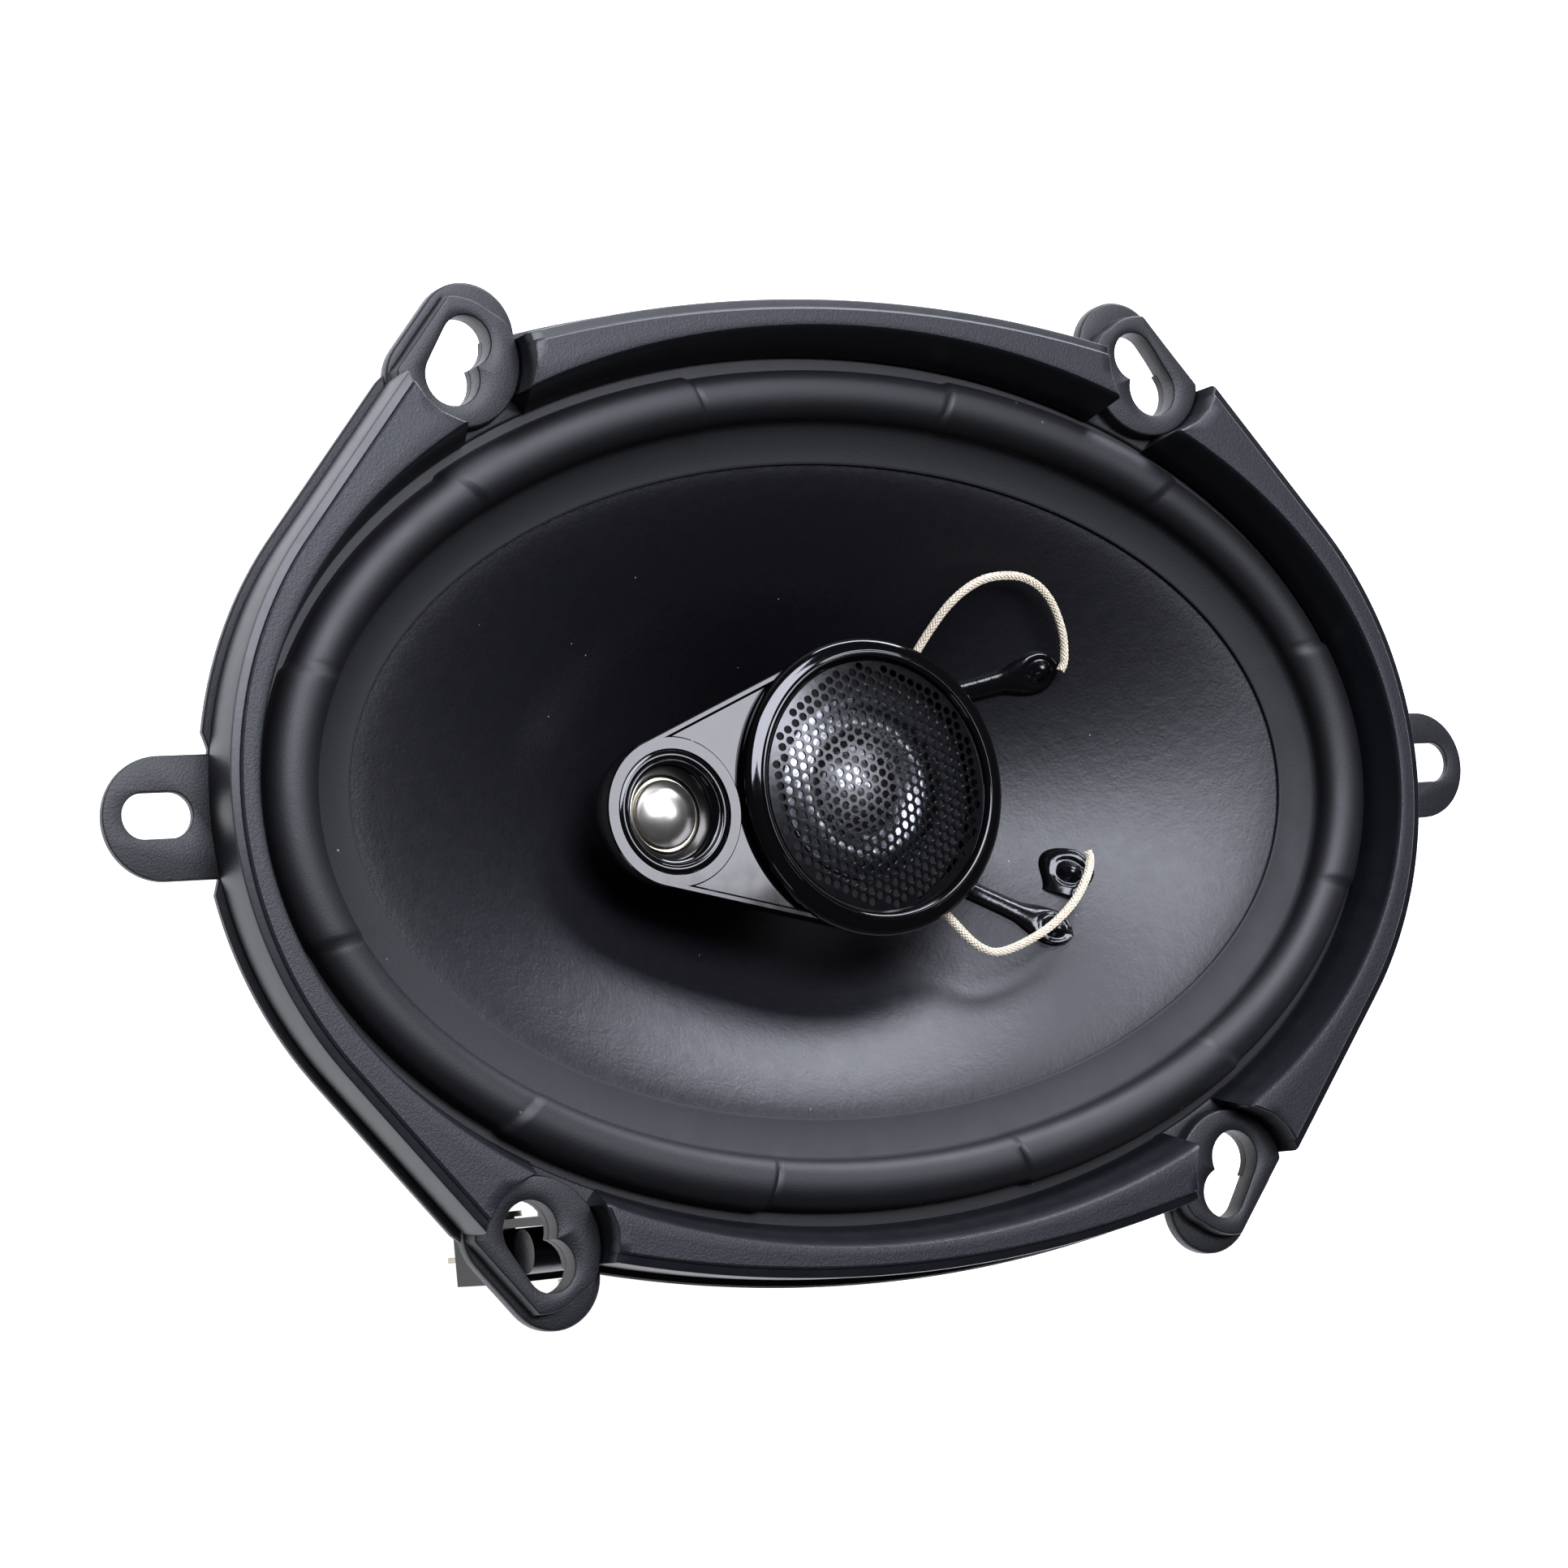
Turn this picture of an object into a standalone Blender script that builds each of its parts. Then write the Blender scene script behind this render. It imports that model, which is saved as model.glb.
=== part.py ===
"""Three-way oval coaxial car speaker, 5x7 / 6x8 inch size, standing on its magnet with the cone facing up.

Metres, +Z up along the speaker's axis, the oval's long axis along X, origin under the back plate's middle.
Heights in the design values are measured from the top face of the steel flange, up positive.
"""

from math import atan2, cos, hypot, pi, radians, sin, sqrt

import bmesh
import bpy
from mathutils import Matrix, Vector

MM = 0.001
GAP = 0.3 * MM  # glue line or seat between pieces that touch
SKIN = 0.03 * MM  # step that keeps joined faces from lying in one plane

# Mounting frame, plan
RIM_LENGTH = 198 * MM  # oval rim along X, without the ears
RIM_WIDTH = 140 * MM  # oval rim along Y
RIM_SIDE_RISE = 4 * MM  # how far the long sides bulge past the radius of the ends
RIM_FACE = 4.1 * MM  # width of the rim's top face at the middle of each side
FLANGE_MARGIN = 1.1 * MM  # steel flange standing out beyond the trim
END_EAR_REACH = 15 * MM  # from the rim to the tip of each end ear, 228 mm across both
END_EAR_WIDTH = 16.6 * MM
END_SLOT = (9.9 * MM, 6.1 * MM)
END_SLOT_WEB = 2.75 * MM  # metal between the slot and the tip of the end ear
EAR_ANGLE = 67.5  # degrees round the arc that the corner ears stand on
SLANT_ANGLE = 39.4  # degrees that the straight side between an end and a corner ear faces away from X
ROUND_TIGHTEN = 9 * MM  # the round of each end is this much tighter than the arc that the ears stand on
EAR_PAD = 9.0 * MM  # radius of the raised pad of a corner ear
EAR_SLANT = 6.2 * MM  # from the pad's middle to its straight side, which runs on from the rim's slant
EAR_POCKET_CLEARANCE = 0.8 * MM  # groove between the pad and the trim
# Lobes of a corner ear and of its keyhole, as (x, y, radius) from the pad's middle, for the +X +Y ear
EAR_LOBES = ((-3.0 * MM, 4.2 * MM, 7.3 * MM), (2.7 * MM, -2.7 * MM, 7.3 * MM))
HOLE_LOBES = ((-1.7 * MM, 2.6 * MM, 3.7 * MM), (0.9 * MM, -2.4 * MM, 4.1 * MM))

# Mounting frame, heights
MOUNT_DEPTH = 62 * MM  # underside of the flange to the back of the magnet
SHEET = 1.2 * MM  # basket steel
TRIM_HEIGHT = 8 * MM
EAR_HEIGHT = 3 * MM
EAR_LIP = 0.3 * MM  # the round pad over the rest of the ear
TUB_DEPTH = 10 * MM  # straight wall under the flange
SHELF_Z = -32.5 * MM
SHELF = (41 * MM, 47 * MM)  # inner and outer radius of the spider's seat
BASE_RADIUS = 39 * MM
BASE_HOLE_CLEARANCE = 2.4 * MM  # round the coil
FLANGE_SEAT = 2.0 * MM  # steel left under the surround's foot
ARM_ANGLES = (0, 62, 118, 180, 242, 298)
ARM_WIDTH = 15 * MM

# Moving system
ROLL_SPAN = 7.4 * MM
ROLL_HEIGHT = 3.6 * MM
FOOT = (3.3 * MM, 5.1 * MM)  # land outside the roll, at the ends and at the sides
BAND = 6.0 * MM  # surround glued over the edge of the cone
SURROUND_T = 0.7 * MM
CONE_T = 0.8 * MM
CONE_EDGE_Z = -1.5 * MM
NECK_Z = -29.5 * MM
CONE_CURVE = 1.3
COIL_BORE = 12.6 * MM
FORMER_T = 0.3 * MM
WINDING_T = 0.6 * MM
WINDING_HEIGHT = 9 * MM
COIL_CLEARANCE = 0.4 * MM  # running gap each side of the coil in the magnet gap
SPIDER_ROLLS = 3
SPIDER_WAVE = 0.9 * MM
SPIDER_T = 0.5 * MM

# Motor
PLATE_T = 5 * MM
PLATE_RADIUS = 38 * MM
MAGNET_RADIUS = 40 * MM
MAGNET_BORE = 21 * MM
MAGNET_T = 12 * MM
BACK_PLATE_T = 5 * MM
SCREW_RADIUS = 2.2 * MM
SCREW_HEAD = (4.4 * MM, 2.4 * MM)
RIVET_CIRCLE = 30 * MM
RIVET = (1.7 * MM, 3.2 * MM, 1.0 * MM)  # shank radius, head radius, head height

# Tweeter pod, in its own frame: its long axis along X, turned by POD_TURN about the speaker's axis
POD_TURN = 4.2
MAIN_X = 8.0 * MM
SUPER_GAP = 2.56 * MM  # between the two bezels
POD_TOP_Z = -7.0 * MM
POD_BOTTOM_Z = -18.5 * MM
POD_WALL = 1.5 * MM
POST_RADIUS = 6 * MM
POD_SCREW_HEAD = 1.6 * MM
POD_RIM = 2.7 * MM  # wall round the main tweeter's pocket
SUPER_RADIUS = 10.9 * MM
BEZEL_OVERHANG = 0.7 * MM
BEZEL_LIP = 1.2 * MM  # grille's edge to the top of the bezel's ring
BEZEL_TOP_Z = -4.4 * MM
GRILLE_RADIUS = 18.4 * MM
GRILLE_RISE = 1.8 * MM
GRILLE_T = 0.5 * MM
FRAME_DROP = 2.6 * MM  # top of the pod to the ring that carries the tweeter's film
FRAME_T = 1.2 * MM
CUP_RADIUS = 10.5 * MM
DOME_RADIUS = 6.6 * MM
SUPER_RING = 8.94 * MM
SUPER_DOME = 4.9 * MM
SUPER_TOP_Z = -6.4 * MM

# Leads and joints on the cone, from the flange's top face. Front leads run from the pod to the cone.
LEAD_RADIUS = 0.7 * MM
UPPER_LEAD = (
    (19.1, 18.9, -10.0), (20.4, 21.6, -9.2), (23.9, 27.2, -5.5), (28.6, 30.4, -3.9), (33.9, 31.1, -3.4),
    (38.0, 30.0, -3.4), (41.0, 27.2, -3.7), (43.4, 22.6, -4.9), (44.0, 18.6, -6.0), (43.4, 17.0, -6.4),
)
LOWER_LEAD = (
    (19.6, -17.5, -9.6), (21.0, -19.6, -9.0), (23.9, -23.8, -7.0), (27.4, -24.9, -5.8), (34.3, -22.4, -4.8),
    (39.9, -18.7, -4.9), (43.6, -14.7, -5.6), (45.6, -12.0, -7.0), (45.7, -10.6, -7.5),
)
REAR_LEADS = (
    (
        (-47.0, -57.9, -33.0), (-46.6, -54.6, -32.6), (-44.0, -48.6, -29.4), (-38.5, -42.0, -26.4),
        (-30.0, -34.0, -25.2), (-22.5, -26.6, -25.2), (-18.2, -22.0, -24.4), (-16.6, -20.0, -23.6),
    ),
    (
        (-39.0, -57.9, -33.0), (-38.8, -54.6, -32.6), (-37.6, -48.6, -29.4), (-34.2, -42.0, -26.4),
        (-26.0, -34.6, -25.2), (-17.2, -29.0, -25.2), (-12.6, -24.6, -24.4), (-11.2, -22.6, -23.6),
    ),
)
# Joints glued on the cone: tail end, head, head half width, height
UPPER_JOINT = ((25.5, 13.9), (44.8, 18.0), 3.2, 2.7)
LOWER_JOINT = ((23.0, -9.6), (41.6, -23.2), 3.0, 2.7)
END_JOINT = ((42.4, -16.6), (45.6, -9.9), 3.9, 2.5)
REAR_JOINTS = (((-14.6, -17.8), (-18.2, -21.6), 2.4, 2.0), ((-9.6, -20.4), (-12.4, -24.4), 2.4, 2.0))

# Terminals, under the flange beside the -X -Y ear
TAB_X = (-51 * MM, -35 * MM)
TAB_SETBACK = 13 * MM  # from the rim's side to the inner face of the steel tab bent down from the flange
TAB_DEPTH = 31 * MM
BLOCK_SIZE = (18 * MM, 7.5 * MM, 12 * MM)
BLOCK_TOP_Z = -24 * MM
SPADE_LENGTH = 8 * MM
SPADE_T = 0.8 * MM
WIDE_SPADE = 4.8 * MM
NARROW_SPADE = 2.8 * MM
TERMINAL_RIVET = 1.3 * MM
RIVET_DROP = 2.6 * MM  # top of the block to its rivets
CAPACITOR = (3.2 * MM, 12 * MM)

# How finely round things are cut
OVAL_STEPS = 44
ROUND_STEPS = 28
SMALL_STEPS = 16

# Worked out from the values above
FLANGE_TOP = MOUNT_DEPTH + SHEET
EAR_SPAN = RIM_LENGTH + 2 * END_EAR_REACH
BACK_Z = -FLANGE_TOP
BASE_TOP_Z = BACK_Z + BACK_PLATE_T + GAP + MAGNET_T + GAP + PLATE_T + GAP + SHEET
PLATE_TOP_Z = BASE_TOP_Z - SHEET - GAP
MAGNET_TOP_Z = PLATE_TOP_Z - PLATE_T - GAP
YOKE_TOP_Z = BACK_Z + BACK_PLATE_T
INNER_X = RIM_LENGTH / 2 - RIM_FACE
INNER_Y = RIM_WIDTH / 2 - RIM_FACE
ROLL_OUT_X = INNER_X - FOOT[0]
ROLL_OUT_Y = INNER_Y - FOOT[1]
ROLL_IN_X = ROLL_OUT_X - ROLL_SPAN
ROLL_IN_Y = ROLL_OUT_Y - ROLL_SPAN
CONE_X = ROLL_IN_X - BAND
CONE_Y = ROLL_IN_Y - BAND
FORMER_OUT = COIL_BORE + FORMER_T
NECK_RADIUS = FORMER_OUT + GAP
WINDING_IN = FORMER_OUT + 0.1 * MM
WINDING_OUT = WINDING_IN + WINDING_T
BASE_HOLE = WINDING_OUT + BASE_HOLE_CLEARANCE
END_RADIUS = RIM_WIDTH / 2 - RIM_SIDE_RISE
END_ROUND = END_RADIUS - ROUND_TIGHTEN
TAB_Y = -(RIM_WIDTH / 2 - TAB_SETBACK)
MAIN_RADIUS = GRILLE_RADIUS + GAP + POD_RIM
BEZEL_RADIUS = MAIN_RADIUS + BEZEL_OVERHANG
BEZEL_RIM = GRILLE_RADIUS + BEZEL_LIP
SUPER_X = MAIN_X - BEZEL_RADIUS - SUPER_GAP - SUPER_RING
RIVET_Z = BLOCK_TOP_Z - RIVET_DROP
EAR_CENTRE = (
    RIM_LENGTH / 2 - END_RADIUS + END_RADIUS * cos(radians(EAR_ANGLE)),
    END_RADIUS * sin(radians(EAR_ANGLE)),
)


for old in list(bpy.data.objects):
    bpy.data.objects.remove(old)

parts = bpy.data.collections.new("coaxial_speaker")
bpy.context.scene.collection.children.link(parts)
cutters = bpy.data.collections.new("cutters")
cutters.hide_render = True
bpy.context.scene.collection.children.link(cutters)


def empty(name, parent=None, location=(0, 0, 0), turn=0.0):
    """A plain axis that pieces hang on."""
    axis = bpy.data.objects.new(name, None)
    axis.location = location
    axis.rotation_euler.z = radians(turn)
    axis.parent = parent
    parts.objects.link(axis)
    return axis


def finish(name, colour, roughness, metallic):
    """A Principled material from an sRGB hex colour."""
    channels = [int(colour[i : i + 2], 16) / 255 for i in (0, 2, 4)]
    linear = [c / 12.92 if c <= 0.04045 else ((c + 0.055) / 1.055) ** 2.4 for c in channels]
    material = bpy.data.materials.new(name)
    material.use_nodes = True
    shader = material.node_tree.nodes["Principled BSDF"]
    shader.inputs["Base Color"].default_value = (*linear, 1)
    shader.inputs["Roughness"].default_value = roughness
    shader.inputs["Metallic"].default_value = metallic
    return material


STEEL_PAINT = finish("black_painted_steel", "1B1C20", 0.45, 0.0)
TRIM_PLASTIC = finish("textured_black_plastic", "24262C", 0.6, 0.0)
RUBBER = finish("black_rubber", "1C1C1F", 0.6, 0.0)
PULP = finish("black_paper_pulp", "26272B", 0.5, 0.0)
GLOSS_ABS = finish("gloss_black_abs", "08080A", 0.1, 0.0)
GLUE = finish("black_lead_glue", "0A0A0C", 0.2, 0.0)
BRAID = finish("cream_tinsel_braid", "E8DFCB", 0.8, 0.0)
GRILLE_STEEL = finish("black_perforated_steel", "2A2B30", 0.35, 0.6)
MYLAR = finish("silvered_film", "C9CBD0", 0.25, 0.9)
ZINC = finish("zinc_plated_steel", "A9ADB3", 0.35, 1.0)
FERRITE = finish("ferrite", "2D2D2F", 0.7, 0.0)
COPPER = finish("enamelled_copper", "A4592B", 0.35, 0.8)
KAPTON = finish("amber_film", "A96A28", 0.4, 0.0)
SPIDER_CLOTH = finish("resin_dipped_cloth", "B9A56C", 0.85, 0.0)
TIN = finish("tinned_brass", "C8BC98", 0.35, 1.0)
PHENOLIC = finish("black_moulded_nylon", "18181A", 0.5, 0.0)
SLEEVE = finish("black_capacitor_sleeve", "121316", 0.4, 0.0)


def add(name, mesh, material, parent, home=parts):
    """Puts a mesh in the scene as a named piece that hangs on its axis."""
    piece = bpy.data.objects.new(name, mesh)
    piece.parent = parent
    if material:
        mesh.materials.append(material)
    mesh.shade_smooth()
    mesh.set_sharp_from_angle(angle=radians(35))
    home.objects.link(piece)
    if home is cutters:
        piece.hide_render = True
        piece.display_type = "WIRE"
    return piece


def boolean(target, other, operation="DIFFERENCE"):
    modifier = target.modifiers.new(other.name, "BOOLEAN")
    modifier.operation = operation
    modifier.object = other
    modifier.solver = "EXACT"


def mesh_of(name, build):
    """A mesh from a function that fills a bmesh, with its normals facing out."""
    work = bmesh.new()
    build(work)
    bmesh.ops.recalc_face_normals(work, faces=work.faces[:])
    mesh = bpy.data.meshes.new(name)
    work.to_mesh(mesh)
    work.free()
    return mesh


def plate(name, outlines, low, high, material=None, parent=None, home=parts):
    """A flat plate between two heights. The first outline is its edge and the others are holes."""
    curve = bpy.data.curves.new(name, "CURVE")
    curve.dimensions = "2D"
    curve.fill_mode = "BOTH"
    curve.extrude = (high - low) / 2
    for outline in outlines:
        spline = curve.splines.new("POLY")
        spline.points.add(len(outline) - 1)
        for point, (x, y) in zip(spline.points, outline):
            point.co = (x, y, 0, 1)
        spline.use_cyclic_u = True
    return from_curve(name, curve, Matrix.Translation((0, 0, (low + high) / 2)), material, parent, home)


def from_curve(name, curve, place, material, parent, home=parts):
    """Turns a curve into a closed mesh, moved to its place."""
    guide = bpy.data.objects.new(name + "_curve", curve)
    bpy.context.scene.collection.objects.link(guide)
    graph = bpy.context.evaluated_depsgraph_get()
    mesh = bpy.data.meshes.new_from_object(guide.evaluated_get(graph))
    bpy.data.objects.remove(guide)
    mesh.transform(place)
    work = bmesh.new()
    work.from_mesh(mesh)
    bmesh.ops.remove_doubles(work, verts=work.verts[:], dist=0.00001)
    bmesh.ops.recalc_face_normals(work, faces=work.faces[:])
    work.to_mesh(mesh)
    work.free()
    mesh.materials.clear()
    return add(name, mesh, material, parent, home)


def turned(name, profile, material=None, parent=None, at=(0, 0), steps=ROUND_STEPS, home=parts):
    """A piece of revolution from a profile of (radius, height), run down its outer side from the top.
    A profile that starts and ends on the axis is a solid, and any other is a closed ring section."""
    mesh = bpy.data.meshes.new(name)
    on_axis = profile[0][0] == 0 and profile[-1][0] == 0
    edges = [(i, i + 1) for i in range(len(profile) - 1)]
    if not on_axis:
        edges.append((len(profile) - 1, 0))
    mesh.from_pydata([(r, 0, z) for r, z in profile], edges, [])
    piece = add(name, mesh, material, parent, home)
    piece.location = (*at, 0)
    screw = piece.modifiers.new("turn", "SCREW")
    screw.axis = "Z"
    screw.steps = steps
    screw.render_steps = steps
    screw.use_merge_vertices = True
    screw.merge_threshold = 0.00001
    screw.use_smooth_shade = True
    return piece


def ring(name, inner, outer, low, high, material, parent, at=(0, 0), steps=ROUND_STEPS):
    """A plain washer or tube."""
    profile = [(inner, high), (outer, high), (outer, low), (inner, low)]
    return turned(name, profile, material, parent, at, steps)


def loft(name, sections, material, parent, closed=True, home=parts):
    """Joins outlines that have the same number of points, each a list of (x, y, z), into one skin.
    A closed loft ends where it starts, and an open one gets a cap at each end."""

    def build(work):
        rows = [[work.verts.new(point) for point in section] for section in sections]
        count = len(rows[0])
        pairs = list(zip(rows, rows[1:]))
        if closed:
            pairs.append((rows[-1], rows[0]))
        for first, second in pairs:
            for i in range(count):
                j = (i + 1) % count
                work.faces.new((first[i], first[j], second[j], second[i]))
        if not closed:
            work.faces.new(rows[0][::-1])
            work.faces.new(rows[-1])
        bmesh.ops.triangulate(work, faces=work.faces[:])

    return add(name, mesh_of(name, build), material, parent, home)


def ellipse_radius(angle, half_x, half_y):
    return half_x * half_y / hypot(half_y * cos(angle), half_x * sin(angle))


def rim_radius(angle, grow=0.0):
    """Distance from the middle to the rim: a round end, a straight slant up to the ear, a flat long side."""
    middle = RIM_LENGTH / 2 - END_RADIUS
    side_centre = (middle**2 - RIM_SIDE_RISE**2) / (2 * RIM_SIDE_RISE)
    side = side_centre + RIM_WIDTH / 2 + grow
    c, s = abs(cos(angle)), abs(sin(angle))
    long_side = sqrt(side**2 - (side_centre * c) ** 2) - side_centre * s
    centre, end = RIM_LENGTH / 2 - END_ROUND, END_ROUND + grow
    out_x, out_y = cos(radians(SLANT_ANGLE)), sin(radians(SLANT_ANGLE))
    if s * (centre + end * out_x) < c * end * out_y:
        return min(long_side, centre * c + sqrt(end**2 - (centre * s) ** 2))
    return min(long_side, (centre * out_x + end) / (c * out_x + s * out_y))


def polar(radius_at, z=None, steps=OVAL_STEPS):
    """Points round the axis at the distances that radius_at gives."""
    points = []
    for i in range(steps):
        angle = 2 * pi * i / steps
        radius = radius_at(angle)
        flat = (radius * cos(angle), radius * sin(angle))
        points.append(flat if z is None else (*flat, z))
    return points


def oval(half_x, half_y, z=None, steps=OVAL_STEPS):
    return polar(lambda angle: ellipse_radius(angle, half_x, half_y), z, steps)


def rim(grow, z=None, steps=OVAL_STEPS):
    return polar(lambda angle: rim_radius(angle, grow), z, steps)


def arc(centre, radius, start, end, steps):
    """Points on an arc, both ends included, angles in radians."""
    return [
        (centre[0] + radius * cos(a), centre[1] + radius * sin(a))
        for a in (start + (end - start) * i / steps for i in range(steps + 1))
    ]


def belt(first, second, steps=9):
    """The outline of a belt round two circles given as (x, y, radius), anticlockwise."""
    dx, dy = second[0] - first[0], second[1] - first[1]
    along = atan2(dy, dx)
    side = pi / 2 - atan2(first[2] - second[2], sqrt(dx**2 + dy**2 - (first[2] - second[2]) ** 2))
    points = arc(first[:2], first[2], along + side, along + 2 * pi - side, steps)
    points += arc(second[:2], second[2], along - side, along + side, steps)
    return points


def keyhole(lobes, steps=6):
    """A bean-shaped outline: two overlapping circles, a cusp on one side and their tangent on the other."""
    (ax, ay, ar), (bx, by, br) = lobes
    dx, dy = bx - ax, by - ay
    distance = hypot(dx, dy)
    along = atan2(dy, dx)
    lean = atan2(ar - br, sqrt(distance**2 - (ar - br) ** 2))
    tangent = along + pi / 2 - lean
    chord = (distance**2 + ar**2 - br**2) / (2 * distance)
    half = sqrt(ar**2 - chord**2)
    cusp_a = along - atan2(half, chord)
    cusp_b = along - pi + atan2(half, distance - chord)
    points = arc((ax, ay), ar, tangent, cusp_a + 2 * pi, steps)
    points += arc((bx, by), br, cusp_b + 2 * pi, tangent + 2 * pi, steps)[1:]
    return points


def corner(outline, side_x, side_y):
    """Moves an outline drawn about the pad's middle to one of the four corner ears."""
    x0, y0 = EAR_CENTRE
    moved = [(side_x * (x0 + x), side_y * (y0 + y)) for x, y in outline]
    return moved if side_x * side_y > 0 else moved[::-1]


def box(name, low, high, material=None, parent=None, home=parts):
    def build(work):
        bmesh.ops.create_cube(work, size=1)
        size = [b - a for a, b in zip(low, high)]
        bmesh.ops.scale(work, vec=size, verts=work.verts)
        bmesh.ops.translate(work, vec=[(a + b) / 2 for a, b in zip(low, high)], verts=work.verts)

    return add(name, mesh_of(name, build), material, parent, home)


def rod(name, start, end, radius, material=None, parent=None, steps=SMALL_STEPS, home=parts):
    """A straight cylinder between two points."""
    start, end = Vector(start), Vector(end)
    axis = end - start

    def build(work):
        place = Matrix.Translation((start + end) / 2) @ axis.to_track_quat("Z", "Y").to_matrix().to_4x4()
        bmesh.ops.create_cone(
            work, cap_ends=True, segments=steps, radius1=radius, radius2=radius,
            depth=axis.length, matrix=place,
        )

    return add(name, mesh_of(name, build), material, parent, home)


def smooth_route(points, spacing):
    """Points at about one spacing along a smooth curve through the given ones."""
    points = [Vector(p) * MM for p in points]
    ends = [points[0] * 2 - points[1], *points, points[-1] * 2 - points[-2]]
    route = []
    for a, b, c, d in zip(ends, ends[1:], ends[2:], ends[3:]):
        count = max(1, round((c - b).length / spacing))
        for i in range(count):
            t = i / count
            route.append(
                (b * 2 + (c - a) * t + (a * 2 - b * 5 + c * 4 - d) * t**2
                 + (b * 3 - a - c * 3 + d) * t**3) / 2
            )
    return [*route, points[-1]]


def lead(name, points, parent):
    """A round braided lead along a smooth route."""
    route = smooth_route(points, 2.6 * LEAD_RADIUS * 2)
    curve = bpy.data.curves.new(name, "CURVE")
    curve.dimensions = "3D"
    curve.bevel_depth = LEAD_RADIUS
    curve.bevel_resolution = 2
    curve.use_fill_caps = True
    spline = curve.splines.new("POLY")
    spline.points.add(len(route) - 1)
    for point, place in zip(spline.points, route):
        point.co = (*place, 1)
    return from_curve(name, curve, Matrix.Identity(4), BRAID, parent)


def cone_share(x, y):
    """How far out a place lies on the cone, 0 at the neck and 1 at the edge of the band."""
    low, high = -0.3, 1.3
    for _ in range(40):
        middle = (low + high) / 2
        half_x = NECK_RADIUS + (CONE_X - NECK_RADIUS) * middle
        half_y = NECK_RADIUS + (CONE_Y - NECK_RADIUS) * middle
        if (x / half_x) ** 2 + (y / half_y) ** 2 > 1:
            low = middle
        else:
            high = middle
    return middle


def cone_height(share):
    """The front face of the cone, steep at the neck and flatter towards its edge."""
    share = min(max(share, 0.0), 1.0)
    return NECK_Z + (CONE_EDGE_Z - NECK_Z) * (1 - (1 - share) ** CONE_CURVE)


def joint_blob(name, spec, parent, side=1):
    """A drop of glue lying on the cone, from a thin tail to a round head. side -1 hangs it under the cone."""
    tail, head = Vector(spec[0]) * MM, Vector(spec[1]) * MM
    half_width, height = spec[2] * MM, spec[3] * MM
    along = (head - tail).normalized()
    across = Vector((-along.y, along.x))
    length = (head - tail).length
    tail_start = max(0.0, length - 2.4 * half_width)
    sections = []
    for i in range(9):
        s = i / 8
        place = tail + along * length * s
        swell = max(0.0, (length * s - tail_start) / (length - tail_start))
        width = half_width * (0.32 + 0.68 * sin(pi * min(swell, 0.999) * 0.62) ** 2)
        if s == 1:
            width *= 0.55
        rise = height * (0.4 + 0.6 * width / half_width)
        upper, lower = [], []
        for k in range(5):
            u = -1 + k / 2
            spot = place + across * width * u
            skin = cone_height(cone_share(spot.x, spot.y))
            base = skin + GAP if side > 0 else skin - CONE_T * 1.6 - GAP
            upper.append((spot.x, spot.y, base + side * (0.25 * MM + (rise - 0.25 * MM) * (1 - u * u))))
            lower.append((spot.x, spot.y, base))
        sections.append(upper + lower[::-1])
    return loft(name, sections, GLUE, parent, closed=False)


# Axes that the pieces hang on
axis = empty("speaker_axis", location=(0, 0, FLANGE_TOP))
cone_axis = empty("cone_axis", axis)
pod_axis = empty("pod_axis", axis, turn=POD_TURN)

CORNERS = [(1, 1), (-1, 1), (-1, -1), (1, -1)]


def pad_outline():
    """A corner ear's pad: round, with one straight side in line with the rim's slant."""
    points = []
    for i in range(24):
        angle = 2 * pi * i / 24
        facing = cos(angle - radians(SLANT_ANGLE))
        radius = min(EAR_PAD, EAR_SLANT / facing) if facing > 0 else EAR_PAD
        points.append((radius * cos(angle), radius * sin(angle)))
    return points


def end_ear(side):
    """A D-shaped ear reaching out from an end of the oval."""
    radius = END_EAR_WIDTH / 2
    centre = EAR_SPAN / 2 - END_EAR_WIDTH / 2
    inner = RIM_LENGTH / 2 - RIM_FACE
    points = arc((centre, 0), radius, -pi / 2, pi / 2, 10)
    points = [(inner, -radius), *points, (inner, radius)]
    return [(side * x, y) for x, y in points][:: int(side)]


def end_slot(side):
    length, width = END_SLOT
    middle = EAR_SPAN / 2 - END_SLOT_WEB - length / 2
    reach = (length - width) / 2
    points = arc((middle + reach, 0), width / 2, -pi / 2, pi / 2, 8)
    points += arc((middle - reach, 0), width / 2, pi / 2, 3 * pi / 2, 8)
    return [(side * x, y) for x, y in points][:: int(side)]


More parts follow.
